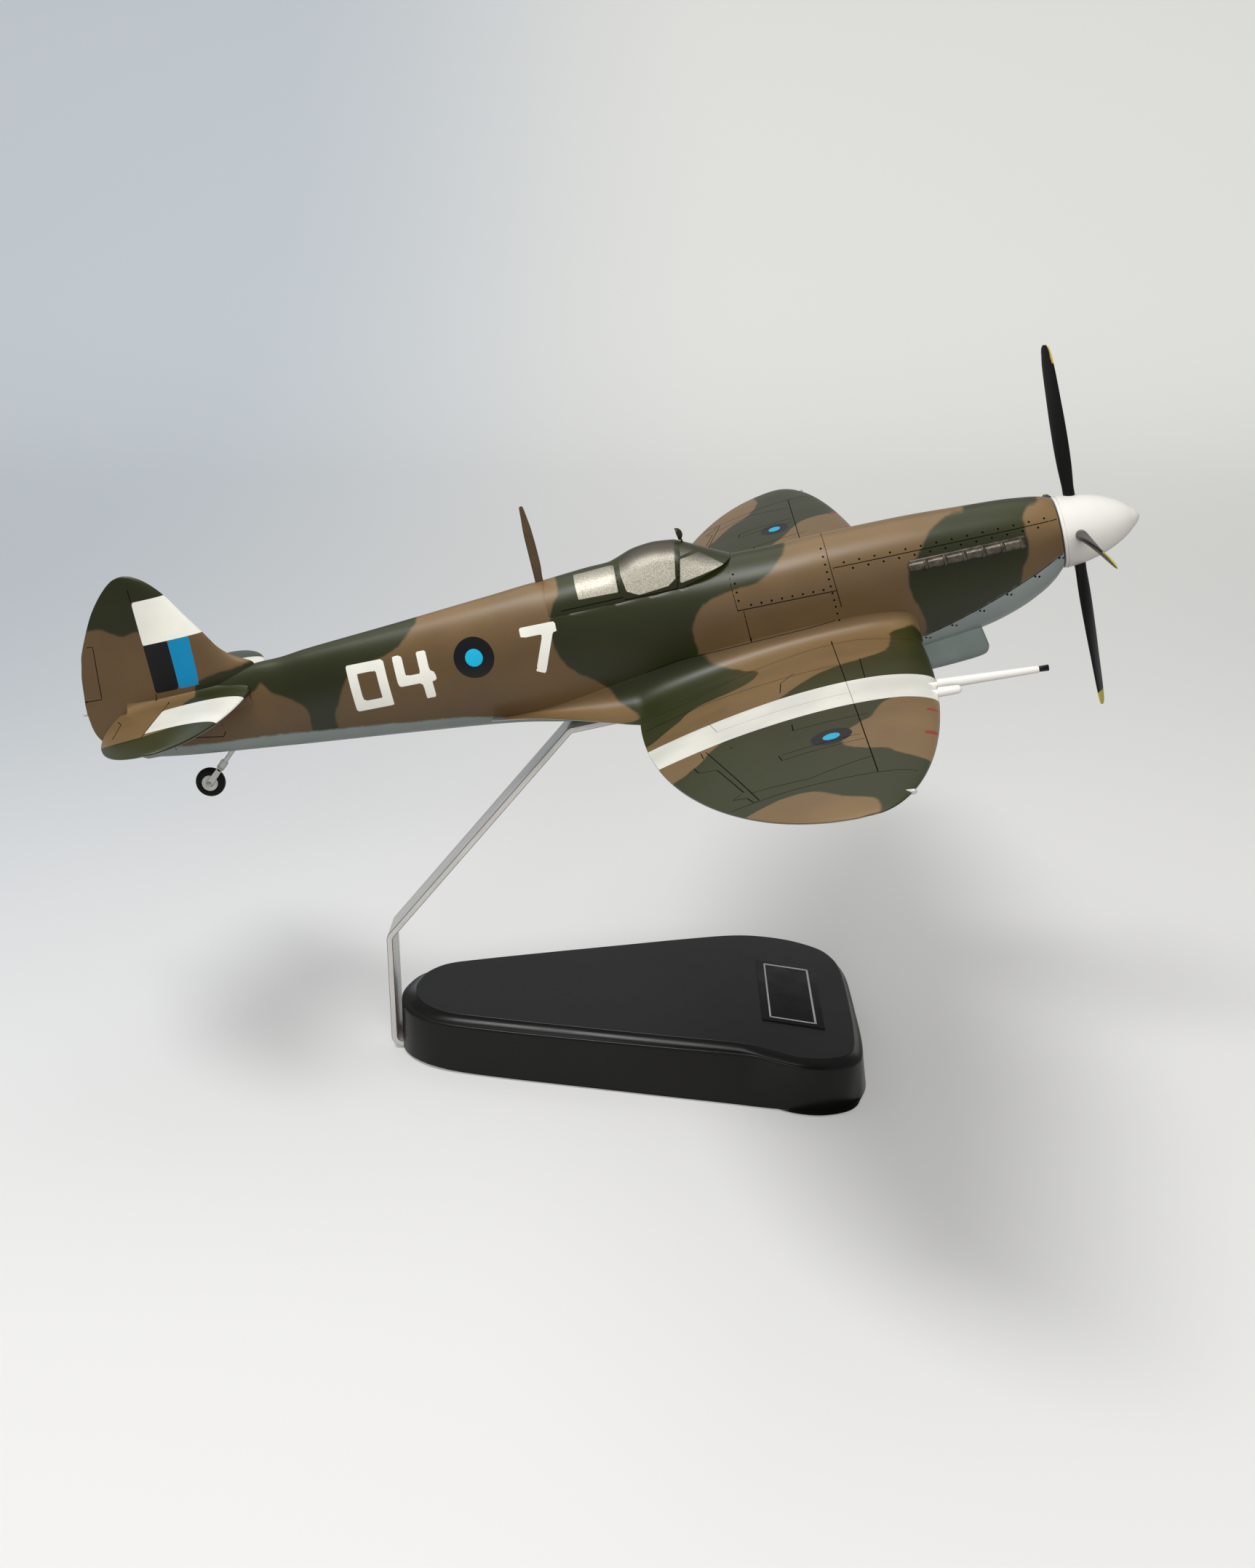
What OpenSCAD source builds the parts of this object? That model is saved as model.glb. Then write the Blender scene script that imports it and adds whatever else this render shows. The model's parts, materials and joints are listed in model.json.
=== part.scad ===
// Desk display model of a single-seat fighter aircraft, about 1/20 of full size,
// carried on a bent bar that rises from a black board.
// World frame: +X towards the nose, +Y to port, +Z up, zero at the underside of the non-slip sheet.

/* [Stand] */
// Thickness of the board
board_h = 26.6; // [25.6:0.2:28]
// Thickness of the non-slip sheet under the board
pad_h = 0.8; // [0.6:0.1:1.2]
// Size of the non-slip sheet over the size of the board
pad_share = 0.97; // [0.94:0.005:0.98]
// Thickness of the support bar
bar_t = 2.8; // [2.4:0.1:3]
// Width of the support bar
bar_w = 22; // [18:0.5:24]
// Inside radius of the bends in the bar
bar_r = 2.6; // [2:0.2:4]
// Length of the bar foot under the board
foot_len = 44; // [38:1:50]
// Length of the bar tongue held by the aircraft
tongue_len = 76; // [66:1:80]
// Thread diameter of the two screws through the foot
screw_d = 3; // [2.5:0.1:3.5]
// Length of the two screws
screw_len = 14; // [10:0.5:18]
// Length of the name plate across the board
plate_len = 67; // [60:1:76]
// Width of the name plate along the board
plate_w = 28.3; // [24:0.1:32]
// How far the name plate is skewed over its width
plate_skew = 9.9; // [0:0.1:12]

/* [Aircraft attitude] */
// Nose-up angle of the thrust line on the stand
pitch = 12.9; // [12:0.1:14]
// Height of the spinner tip above the table
tip_z = 257.3; // [252:0.1:262]

/* [Wing] */
// Full wing span
span = 561.4; // [552:0.2:570]
// Chord the elliptical plan has on the centre line
root_chord = 127.6; // [125:0.2:130]
// Dihedral angle of each wing
dihedral = 5.12; // [4.8:0.02:5.6]
// Angle of the wing to the thrust line
incidence = 2.69; // [2.2:0.01:3]
// Thickness of the wing over its chord at the root
wing_tc = 0.13; // [0.125:0.001:0.14]
// Half width of the centre section to the wing joint
joint_y = 50; // [49:0.5:52]
// Diameter of the dowels in the wing joint
dowel_d = 4; // [3:0.1:4.4]

/* [Tail] */
// Full tailplane span
tail_span = 166; // [158:1:172]
// Chord of the tailplane on the centre line
tail_chord = 63.5; // [62:0.5:65]
// Half width of the tail unit to the tailplane joint
tail_joint_y = 12; // [11:0.5:13]
// Diameter of the dowels in the tailplane joint
tail_dowel_d = 2; // [1.6:0.1:2.4]
// Diameter of the tail wheel tyre
tyre_d = 13.8; // [13:0.1:14.2]
// Width of the tail wheel tyre
tyre_w = 4.6; // [4:0.1:4.8]
// Diameter of the tail wheel axle
axle_d = 2; // [1.6:0.1:2.4]

/* [Propeller] */
// Diameter of the propeller
prop_d = 163; // [158:1:168]
// Length of the spinner
spinner_len = 34.7; // [34:0.1:35]
// Diameter of the spinner at its back plate
spinner_d = 32; // [31.4:0.1:32.4]
// Diameter of the propeller shaft
shaft_d = 5; // [4:0.1:6]
// Diameter of the blade root pegs
peg_d = 4.4; // [3.8:0.1:4.8]

/* [Fits] */
// Radial clearance of turning shafts
run_fit = 0.05; // [0.03:0.01:0.08]
// Clearance each side between the tongue and its slot
slot_fit = 0.25; // [0.2:0.01:0.35]

/* [Hidden] */

tip_x = 224;
black = [0.10, 0.10, 0.10];
bright = [0.82, 0.82, 0.80];
brown = [0.42, 0.33, 0.22];
green = [0.22, 0.24, 0.16];
grey = [0.52, 0.56, 0.55];
white = [0.88, 0.87, 0.84];
pane = [0.66, 0.63, 0.56];
pewter = [0.45, 0.43, 0.40];
rubber = [0.11, 0.10, 0.10];

// ---- helpers ----
function sp(c, e) = sign(c) * pow(abs(c), e);
function mix(a, b, t) = a + (b - a) * t;
// row of a table T (falling or rising first column) that holds x
function row(T, x, i = 0) =
  i >= len(T) - 2 || (T[1][0] < T[0][0] ? x >= T[i + 1][0] : x <= T[i + 1][0]) ? i : row(T, x, i + 1);
function grad(T, i, k) =
  let (a = max(i - 1, 0), b = min(i + 1, len(T) - 1)) (T[b][k] - T[a][k]) / (T[b][0] - T[a][0]);
// smooth value of column k of table T at x
function at(T, x, k) =
  let (i = row(T, x), h = T[i + 1][0] - T[i][0], u = (x - T[i][0]) / h,
       m0 = grad(T, i, k) * h, m1 = grad(T, i + 1, k) * h)
  (2*u*u*u - 3*u*u + 1) * T[i][k] + (u*u*u - 2*u*u + u) * m0
  + (3*u*u - 2*u*u*u) * T[i + 1][k] + (u*u*u - u*u) * m1;
// solid through a list of rings with equal point counts
module loft(R) {
  n = len(R[0]);
  m = len(R);
  polyhedron(
    points = [for (r = R) each r],
    faces = concat(
      [[for (j = [n - 1:-1:0]) j]],
      [for (i = [0:m - 2]) for (j = [0:n - 1])
        let (a = i * n + j, b = i * n + (j + 1) % n) [a, b, b + n]],
      [for (i = [0:m - 2]) for (j = [0:n - 1])
        let (a = i * n + j, b = i * n + (j + 1) % n) [a, b + n, a + n]],
      [[for (j = [0:n - 1]) (m - 1) * n + j]]),
    convexity = 6);
}
module on_plane() translate([tip_x, 0, tip_z]) rotate([0, -pitch, 0]) children();

// ---- fuselage shape, airframe frame: zero at the spinner tip, X forward ----
// station, top, bottom, half width, height of greatest width, roundness above, below
FS = [
  [-37, 15.9, -15.9, 15.9, 0, 2, 2],
  [-41, 17.3, -20.0, 16.6, -1, 2.03, 2.05],
  [-47, 18.4, -24.2, 17.3, -2.2, 2.08, 2.1],
  [-58, 19.7, -29.4, 18.1, -3.6, 2.12, 2.15],
  [-74, 20.6, -34.0, 18.9, -4.4, 2.15, 2.2],
  [-100, 21.9, -37.2, 19.7, -4.5, 2.18, 2.25],
  [-137, 22.3, -40.8, 20.4, -4, 2.15, 2.3],
  [-165, 21.9, -43.6, 20.9, -4, 2.1, 2.4],
  [-200, 23.2, -44.3, 21.3, -4, 2.05, 2.4],
  [-230, 26.4, -43.4, 21.0, -4, 2, 2.3],
  [-262, 28.9, -37.8, 19.4, -3, 1.95, 2.2],
  [-290, 27.3, -32.4, 17.2, -2, 1.95, 2.1],
  [-334, 24.4, -27.2, 13.8, -1, 1.95, 2],
  [-376, 21.9, -22.7, 10.3, 0, 1.95, 2],
  [-388, 20.7, -21.4, 9.4, 0, 1.95, 2],
  [-400, 20.5, -20.0, 8.4, 0, 1.95, 2],
  [-421, 18.4, -17.6, 6.6, 0, 1.95, 2],
  [-447, 12.0, -14.3, 4.4, 0, 1.95, 2],
  [-464, 8.0, -10.8, 3.0, 0, 1.95, 2],
  [-474, 4.0, -6.5, 2.0, 0, 1.95, 2],
  [-478.6, 1.0, -2.5, 1.0, 0, 1.95, 2]];
frame_x = -400;
ring_n = 36;
function body_pt(x, a) =
  let (up = sin(a) >= 0, zm = at(FS, x, 4), e = 2 / at(FS, x, up ? 5 : 6),
       h = up ? at(FS, x, 1) - zm : zm - at(FS, x, 2))
  [x, at(FS, x, 3) * sp(cos(a), e), zm + h * sp(sin(a), e)];
function body_ring(x) = [for (j = [0:ring_n - 1]) body_pt(x, j * 360 / ring_n)];
// half width of the fuselage at station x and height z
function body_y(x, z) =
  let (zm = at(FS, x, 4), up = z >= zm, n = at(FS, x, up ? 5 : 6),
       h = up ? at(FS, x, 1) - zm : zm - at(FS, x, 2), q = min(0.999, abs(z - zm) / h))
  at(FS, x, 3) * pow(1 - pow(q, n), 1 / n);
body_xs = [-37, -38.4, -40, -42, -44.5, -47.5, -51, -55, -60, -66, -73, -81, -90, -100, -112, -125,
  -138, -151, -164, -177, -190, -203, -216, -229, -240, -251, -262, -276, -290, -305, -320, -336,
  -352, -366, -376, -384, -392, frame_x];
tail_xs = [frame_x, -410, -421, -434, -447, -456, -464, -470, -475, -478.6];

// ---- wing shape ----
wing_x = -147.5;
wing_z = -32.6;
half_span = span / 2;
le_part = 0.332;
te_t = 0.5;
af_n = 14;
module on_wing() translate([wing_x, 0, wing_z]) rotate([0, -incidence, 0]) children();
function wing_c(y) = root_chord * sqrt(max(0, 1 - pow(y / half_span, 2)));
function wing_t(y) = mix(wing_tc, 0.075, y / half_span);
function half_t(s, t) =
  5 * t * (0.2969 * sqrt(s) - 0.126 * s - 0.3516 * s*s + 0.2843 * s*s*s - 0.1015 * s*s*s*s);
function foil_pt(s, up, c, t, x0, y, z0, le, cam) =
  [x0 + le * c - s * c, y,
   z0 + cam * 4 * s * (1 - s) * c + (up ? 1 : -1) * (half_t(s, t) * c + s * te_t / 2)];
function foil_ring(c, t, x0, y, z0, le, cam, n) = concat(
  [for (j = [0:n]) foil_pt((1 + cos(180 * j / n)) / 2, true, c, t, x0, y, z0, le, cam)],
  [for (j = [n - 1:-1:0]) foil_pt((1 + cos(180 * j / n)) / 2, false, c, t, x0, y, z0, le, cam)]);
function wing_ring(y) = foil_ring(wing_c(y), wing_t(y), 0, y, y * tan(dihedral), le_part, 0.02, af_n);
wing_k = [0.9982, 0.993, 0.985, 0.973, 0.957, 0.937, 0.913, 0.885, 0.853, 0.817, 0.777, 0.733,
  0.685, 0.633, 0.577, 0.517, 0.453, 0.385, 0.313, 0.243];
module wing_panel() loft(concat([for (k = wing_k) wing_ring(k * half_span)], [wing_ring(joint_y)]));
module wing_stub() loft([wing_ring(joint_y), wing_ring(38), wing_ring(26), wing_ring(13), wing_ring(4)]);
// upper surface height of the wing in the airframe frame
function wing_top(x, y) =
  let (c = wing_c(y), s = min(1, max(0.001, (wing_x + le_part * c - x) / c)))
  wing_z + (x - wing_x) * tan(incidence) + y * tan(dihedral) + 0.08 * s * (1 - s) * c
  + half_t(s, wing_t(y)) * c + s * te_t / 2;

// wing root fillet: station, height on the body side, outer edge
FL = [
  [-104, -20, 24],
  [-108, -15.5, 38],
  [-120, -12.5, 36],
  [-137, -11.5, 33],
  [-155, -11.2, 34],
  [-178, -11.6, 38],
  [-200, -13, 43.5],
  [-218, -15.6, 47],
  [-232, -17.8, 48.5],
  [-246, -20.5, 41],
  [-262, -23.5, 31.5],
  [-280, -26, 22],
  [-300, -26.4, 16.9]];
fillet_xs = [-104.5, -106, -108.5, -112, -117, -124, -133, -144, -156, -169, -182, -195, -207, -218,
  -226, -232, -239, -246, -254, -262, -271, -280, -290, -299];
fillet_n = 8;
function fillet_edge_z(x, y) =
  x > -231 ? wing_top(x, y) - 0.12 : mix(wing_top(-231, 48.5) - 0.1, -24.6, pow((-231 - x) / 69, 0.8));
function fillet_ring(x) =
  let (za = at(FL, x, 1), yb = at(FL, x, 2), ya = body_y(x, za) - 0.15, zb = fillet_edge_z(x, yb),
       k = tan(dihedral) + (x > -231 ? 0 : 0.12), zc = min(zb - (yb - ya) * k, za - 0.5),
       low = x > -226 ? zb - 1.2 : zb - 0.6,
       in_z = x > -231 ? zb - 7 : mix(zb - 6, at(FS, x, 2) + 5, min(1, (-231 - x) / 60)))
  concat(
    [for (j = [0:fillet_n]) let (t = j / fillet_n)
      [x, (1-t)*(1-t)*yb + 2*t*(1-t)*(ya + 0.3) + t*t*ya, (1-t)*(1-t)*zb + 2*t*(1-t)*zc + t*t*za]],
    [[x, ya - 5, za + 1], [x, ya - 7, in_z], [x, mix(ya, yb, 0.35), mix(low, in_z, 0.55)], [x, yb, low]]);
module fillet() loft([for (x = fillet_xs) fillet_ring(x)]);

// ---- canopy block: side view cut and glass shape ----
sill_z = 15.3;
glass_z = 13.9;
glass_x0 = -179;
glass_x1 = -262.7;
hood_x0 = -201.2;
hood_x1 = -229.4;
// station, top, roundness
CS = [
  [-178, 21.8, 2.1],
  [-183, 24.3, 2.1],
  [-199.5, 32.8, 2.2],
  [-202, 33.9, 2.2],
  [-206, 34.6, 2.15],
  [-211, 35.1, 2.1],
  [-216, 34.9, 2.05],
  [-222, 34.0, 2],
  [-229, 31.6, 2],
  [-233, 30.5, 2],
  [-243, 30.2, 1.97],
  [-264, 28.75, 1.95]];
glass_n = 20;
// half width at the foot that brings the glass flush with the body side at the sill
function glass_w(x) = let (h = at(CS, x, 1) - glass_z, n = at(CS, x, 2))
  mix(body_y(x, sill_z) / pow(1 - pow((sill_z - glass_z) / h, n), 1 / n), body_y(x, glass_z),
    min(1, max(0, (x + 206) / 14)));
function glass_ring(x) =
  let (w = glass_w(x), h = at(CS, x, 1) - glass_z, e = 2 / at(CS, x, 2))
  concat([for (j = [0:glass_n]) let (a = 180 * j / glass_n)
      [x, w * sp(cos(a), e), glass_z + h * sp(sin(a), e)]],
    [[x, -w, glass_z - 2], [x, w, glass_z - 2]]);
glass_xs = [-178.5, -183, -188, -193, -199.5, -202, -206, -211, -216, -222, -226, -229, -231, -233,
  -237, -243, -250.5, -257, -264];
module glass_shape() loft([for (x = glass_xs) glass_ring(x)]);
// everything above the sill line, seen from the side
module above_sill(x0, x1) intersection() {
  rotate([90, 0, 0]) linear_extrude(height = 60, center = true)
    polygon([[glass_x0, 22.2], [-203.5, sill_z], [glass_x1, sill_z], [glass_x1, 60], [glass_x0, 60]]);
  translate([x1, -40, 0]) cube([x0 - x1, 80, 60]);
}
module fuselage_loft() loft([for (x = body_xs) body_ring(x)]);
module hull_shape() union() {
  fuselage_loft();
  for (s = [0, 1]) mirror([0, s, 0]) {
    on_wing() wing_stub();
    fillet();
  }
}
module glass_part(x0, x1) on_plane() resize([0, 0, 0]) intersection() {
  glass_shape();
  above_sill(x0, x1);
}

// ---- support bar path, side view in the world frame ----
foot_gap = 0.2;
foot_z = pad_h + foot_gap + bar_t / 2;
bar_x = -112.4;
bend_x = -112.9;
bend_z = 57.5;
tongue_z = -38.95;
// airframe point to world side view
function world(x, z) = [tip_x + x * cos(pitch) - z * sin(pitch), tip_z + x * sin(pitch) + z * cos(pitch)];
tongue_x0 = -266.4;
// how far the slot runs out behind the tongue
slot_run = 6;
tongue_x1 = tongue_x0 + tongue_len;
bar_path = [[bar_x + foot_len, foot_z], [bar_x, foot_z], [bend_x, bend_z],
  world(tongue_x0, tongue_z), world(tongue_x1, tongue_z)];
bar_mid_r = bar_r + bar_t / 2;
function unit(v) = v / norm(v);
function left(v) = [-v[1], v[0]];
function bend(p, q, r, d) =
  let (u = unit(q - p), w = unit(r - q), turn = atan2(u[0]*w[1] - u[1]*w[0], u[0]*w[0] + u[1]*w[1]),
       g = sign(turn), s = q - u * bar_mid_r * tan(abs(turn) / 2), c = s + left(u) * bar_mid_r * g,
       rr = bar_mid_r - g * d, a0 = atan2(s[1] - c[1], s[0] - c[0]))
  [for (j = [0:6]) c + rr * [cos(a0 + turn * j / 6), sin(a0 + turn * j / 6)]];
function side(d) = let (P = bar_path, n = len(P) - 1) concat(
  [P[0] + left(unit(P[1] - P[0])) * d],
  [for (i = [1:n - 1]) each bend(P[i - 1], P[i], P[i + 1], d)],
  [P[n] + left(unit(P[n] - P[n - 1])) * d]);
function rev(a) = [for (i = [len(a) - 1:-1:0]) a[i]];
module tongue_slot()
  translate([tongue_x0 - slot_run, -bar_w / 2 - slot_fit, tongue_z - bar_t / 2 - slot_fit])
  cube([tongue_len + slot_run + slot_fit, bar_w + 2 * slot_fit, bar_t + 2 * slot_fit]);

// ---- stand ----
// board outline at the floor, under the cove and at the top face, matched point for point
FOOT = [[-109.6, 0], [-107.3, -14], [-99.8, -25.3], [-86.5, -34.2], [-61, -41.6], [-26, -49.5], [14, -58.5],
  [46, -65.5], [59, -68.6], [69, -70.7], [78, -71.7], [88, -71], [97, -67.8], [103.2, -62.6],
  [107.6, -56], [109.8, -42], [109, -15], [108.2, 8], [106.8, 24], [103.6, 38], [97, 51], [83, 62.6],
  [66, 68.8], [50, 69.8], [29, 65.4], [-6, 56.4], [-46, 46], [-76, 38], [-91, 32.6], [-102.4, 23.5],
  [-107.8, 11.5]];
LOW = [[-109.4, 0], [-107, -14], [-99.5, -25], [-86, -32.8], [-61, -39.6], [-26, -47], [14, -55],
  [46, -60.8], [57, -63.8], [66, -69.2], [76, -74.6], [87, -76.4], [97.5, -73.4], [103.4, -68],
  [106, -60], [106.9, -42], [106.6, -15], [106.2, 8], [105.4, 24], [102.6, 38], [96.6, 51], [83, 62.6],
  [66, 68.6], [50, 69.6], [29, 65.2], [-6, 56.2], [-46, 45.8], [-76, 37.8], [-91, 32.4], [-102.3, 23.4],
  [-107.7, 11.5]];
TOP = [[-102.5, 0], [-100, -12], [-94, -21.5], [-84, -28], [-61, -34], [-26, -41.6], [14, -50],
  [46, -56.4], [56, -59.8], [66, -65.8], [76, -71.4], [86, -73.2], [95.5, -70.8], [100.2, -66],
  [102.2, -58], [103.4, -40], [103.6, -15], [103.3, 8], [102.5, 24], [100.2, 36], [94.2, 48], [81, 58.5],
  [66, 64], [51, 65], [29, 60.5], [-6, 51.5], [-46, 41], [-76, 32.6], [-90, 27.5], [-98, 19], [-101.4, 9.5]];
// height under the top face and share of the way from LOW to TOP
STEP = [[-4.2, 0], [-3.8, 0.06], [-3.5, 0.2], [-3.2, 0.4], [-2.6, 0.6], [-1.8, 0.78], [-1, 0.9], [-0.4, 0.96], [0, 1]];
board_top = pad_h + board_h;
function cyc(P, i) = P[(i + len(P)) % len(P)];
function curve(P, u) =
  let (i = floor(u), t = u - i, a = cyc(P, i - 1), b = cyc(P, i), c = cyc(P, i + 1), d = cyc(P, i + 2))
  0.5 * (2 * b + (c - a) * t + (2*a - 5*b + 4*c - d) * t*t + (3*b - a - 3*c + d) * t*t*t);
out_n = 3 * len(LOW);
function board_ring(z, t) = [for (j = [0:out_n - 1])
  let (p = mix(curve(LOW, j / 3), curve(TOP, j / 3), t)) [p[0], p[1], z]];
screw_xs = [-98, -80];
foot_fit = 0.3;
plate_x = 76;
plate_y = -5;
plate_t = 0.5;
module base_board() color(black) difference() {
  resize([0, 0, 0]) difference() {
    loft(concat([for (k = [len(STEP) - 1:-1:0]) board_ring(board_top + STEP[k][0], STEP[k][1])],
      [[for (j = [0:out_n - 1]) let (p = curve(FOOT, j / 3)) [p[0], p[1], pad_h]]]));
    translate([-130, -bar_w / 2 - foot_fit, -1])
      cube([130 + bar_x + foot_len + foot_fit, bar_w + 2 * foot_fit, foot_z + bar_t / 2 + 1]);
    translate([-130, -bar_w / 2 - foot_fit, 0])
      cube([130 + bar_x + bar_t / 2 + bar_r, bar_w + 2 * foot_fit, foot_z + bar_t / 2 + bar_r]);
  }
  for (x = screw_xs) translate([x, 0, foot_z]) cylinder(d = screw_d, h = screw_len + 0.5, $fn = 24);
}
module base_sheet() color(rubber) linear_extrude(height = pad_h)
  polygon([for (j = [0:out_n - 1]) pad_share * curve(FOOT, j / 3)]);
module support_arm() color(bright) difference() {
  rotate([90, 0, 0]) linear_extrude(height = bar_w, center = true)
    polygon(concat(side(bar_t / 2), rev(side(-bar_t / 2))));
  for (x = screw_xs) translate([x, 0, foot_z - bar_t / 2 - 1]) {
    cylinder(d = screw_d, h = bar_t + 2, $fn = 24);
    translate([0, 0, 1]) cylinder(d1 = 2 * screw_d, d2 = screw_d, h = screw_d / 2, $fn = 24);
  }
}
module arm_screws() color(pewter)
  for (x = screw_xs) translate([x, 0, foot_z - bar_t / 2]) difference() {
    union() {
      cylinder(d = screw_d, h = screw_len, $fn = 24);
      cylinder(d1 = 2 * screw_d, d2 = screw_d, h = screw_d / 2, $fn = 24);
    }
    for (a = [0, 90]) rotate([0, 0, a]) translate([-1.3, -0.3, -0.5]) cube([2.6, 0.6, 1.2]);
  }
module name_plate() color(black) translate([plate_x, plate_y, board_top]) linear_extrude(height = plate_t)
  polygon([for (c = [[-1, -1], [1, -1], [1, 1], [-1, 1]])
    [c[0] * plate_w / 2, c[1] * plate_len / 2 - c[0] * plate_skew / 2]]);

// ---- airframe ----
bush_d = 9;
bush_len = 14;
nose_x = -37;
pocket_y = 16.6;
stack_z = 3.7;
stack_x = -54.2;
stack_len = 51;
stack_h = 5.2;
module stack_block(t)
  translate([stack_x - stack_len + 1.2, pocket_y, stack_z - stack_h / 2]) cube([stack_len, t, stack_h]);
mast_w = 3.7;
mast_x = glass_x1 - 0.2 - mast_w;
mast_t = 1.2;
mast_foot_z = 25.6;
// mast side view: share of the foot width aft to fore, height
MAST = [[0, mast_foot_z], [1, mast_foot_z], [1, 31], [1.13, 36], [1.13, 45], [1.05, 52.6], [0.92, 57.3],
  [0.83, 60.3], [0.7, 63.2], [0.28, 63.9], [0.2, 61.3], [0.14, 58], [0.04, 53.4], [0, 50]];
module mast_shape() rotate([90, 0, 0]) linear_extrude(height = mast_t, center = true)
  polygon([for (p = MAST) [mast_x + p[0] * mast_w, p[1]]]);
dowel_xs = [28, -38];
module wing_dowel_at(x, d) on_wing() translate([x, joint_y, joint_y * tan(dihedral) + (x > 0 ? 1 : 0.6)])
  rotate([dihedral, 0, 0]) rotate([90, 0, 0]) cylinder(d = d, h = 24, center = true, $fn = 24);
tail_pins = [[4, 9], [-4, 9], [3.5, -10], [-3.5, -10]];
module frame_pin(p) translate([frame_x, p[0], p[1]]) rotate([0, 90, 0])
  cylinder(d = tail_dowel_d, h = 14, center = true, $fn = 24);
module fuselage() color(brown) on_plane() difference() {
  resize([0, 0, 0]) difference() {
    hull_shape();
    above_sill(glass_x0, glass_x1);
    tongue_slot();
    for (s = [0, 1]) mirror([0, s, 0]) stack_block(8);
    translate([mast_x, -mast_t / 2, mast_foot_z]) cube([mast_w, mast_t, 10]);
  }
  translate([nose_x + 1, 0, 0]) rotate([0, -90, 0]) cylinder(d = bush_d, h = bush_len + 1, $fn = 32);
  for (s = [0, 1]) mirror([0, s, 0]) for (x = dowel_xs) wing_dowel_at(x, dowel_d);
  for (p = tail_pins) frame_pin(p);
}
module prop_bush() color(pewter) on_plane() difference() {
  translate([nose_x + 0.3, 0, 0]) rotate([0, -90, 0]) cylinder(d = bush_d, h = bush_len + 0.3, $fn = 32);
  translate([nose_x + 2, 0, 0]) rotate([0, -90, 0])
    cylinder(d = shaft_d + 2 * run_fit, h = bush_len + 4, $fn = 32);
}

// tail unit: cone, fin and rudder, tailplane roots
// height, leading edge, trailing edge, half thickness
FIN = [
  [-12.6, -428, -461, 2.2],
  [-8, -424, -470, 3],
  [-4, -420, -475.4, 3.4],
  [0, -412, -479.2, 3.5],
  [5, -408, -481.4, 3.8],
  [13, -404, -482, 4],
  [18, -401.4, -481.7, 4.1],
  [20.8, -400.4, -481.2, 3.95],
  [22.4, -402, -480.9, 3.75],
  [24.2, -405.4, -480.6, 3.5],
  [27.2, -410.2, -480.1, 3.3],
  [31.5, -414.4, -479.2, 3.1],
  [36, -417.1, -477.8, 2.95],
  [41, -419.9, -476.2, 2.85],
  [50, -425.4, -471.4, 2.5],
  [58, -430, -466.4, 2.1],
  [64, -434.4, -461.4, 1.7],
  [68.5, -439, -456.6, 1.3],
  [71.3, -443.6, -452.4, 0.8],
  [72.1, -446.4, -449.6, 0.45]];
fin_n = 10;
fin_te = 0.8;
function fin_ring(r) = let (c = r[1] - r[2], t = r[3] / 0.5 / c)
  concat([for (j = [0:fin_n]) let (s = (1 + cos(180 * j / fin_n)) / 2)
      [r[1] - s * c, -(half_t(s, t) * c + s * min(fin_te / 2, r[3] * 0.6)), r[0]]],
    [for (j = [fin_n - 1:-1:0]) let (s = (1 + cos(180 * j / fin_n)) / 2)
      [r[1] - s * c, half_t(s, t) * c + s * min(fin_te / 2, r[3] * 0.6), r[0]]]);
module fin() loft([for (i = [len(FIN) - 1:-1:0]) fin_ring(FIN[i])]);
tp_x = -435.4;
tp_z = 10.1;
tp_half = tail_span / 2;
function tp_c(y) = tail_chord * pow(max(0, 1 - pow(y / tp_half, 2.4)), 0.46);
function tp_ring(y) = foil_ring(tp_c(y), 0.095, tp_x, y, tp_z, 0.5, 0, 10);
tp_k = [0.998, 0.992, 0.98, 0.962, 0.935, 0.9, 0.855, 0.8, 0.73, 0.65, 0.56, 0.46, 0.35, 0.24];
module tailplane() loft(concat([for (k = tp_k) tp_ring(k * tp_half)], [tp_ring(tail_joint_y)]));
tail_fillet_xs = [-404.5, -407, -411, -417, -424, -432, -440, -448, -456, -462.3];
function tp_top(x, y) = let (c = tp_c(y), s = min(1, max(0.001, (tp_x + 0.5 * c - x) / c)))
  half_t(s, 0.095) * c + s * te_t / 2;
// fillet between tailplane root and body side; up = 1 above, -1 below
function tail_fillet_ring(x, up) =
  let (h = tp_top(x, 11), yb = 11.6, zb = tp_z + up * (h - 0.1), za = tp_z + up * (h + 5.5),
       ya = max(1.2, body_y(x, za) - 0.15, up > 0 ? 2.4 : 1.2))
  let (Q = concat(
    [for (j = [0:5]) let (t = j / 5)
      [x, (1-t)*(1-t)*yb + 2*t*(1-t)*(ya + 0.2) + t*t*ya,
       (1-t)*(1-t)*zb + 2*t*(1-t)*zb + t*t*za]],
    [[x, 0.3, za], [x, 0.3, tp_z], [x, yb, tp_z]])) up > 0 ? Q : rev(Q);
tail_pin_xs = [12, -8];
module tail_pin_at(x, d) translate([tp_x + x, tail_joint_y, tp_z])
  rotate([90, 0, 0]) cylinder(d = d, h = 12, center = true, $fn = 24);
strut_a = 41;
axle_x = -436.2;
axle_z = -29.8;
strut_d = 2.2;
module on_strut() translate([axle_x, 0, axle_z]) rotate([0, -strut_a, 0]) children();
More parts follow.
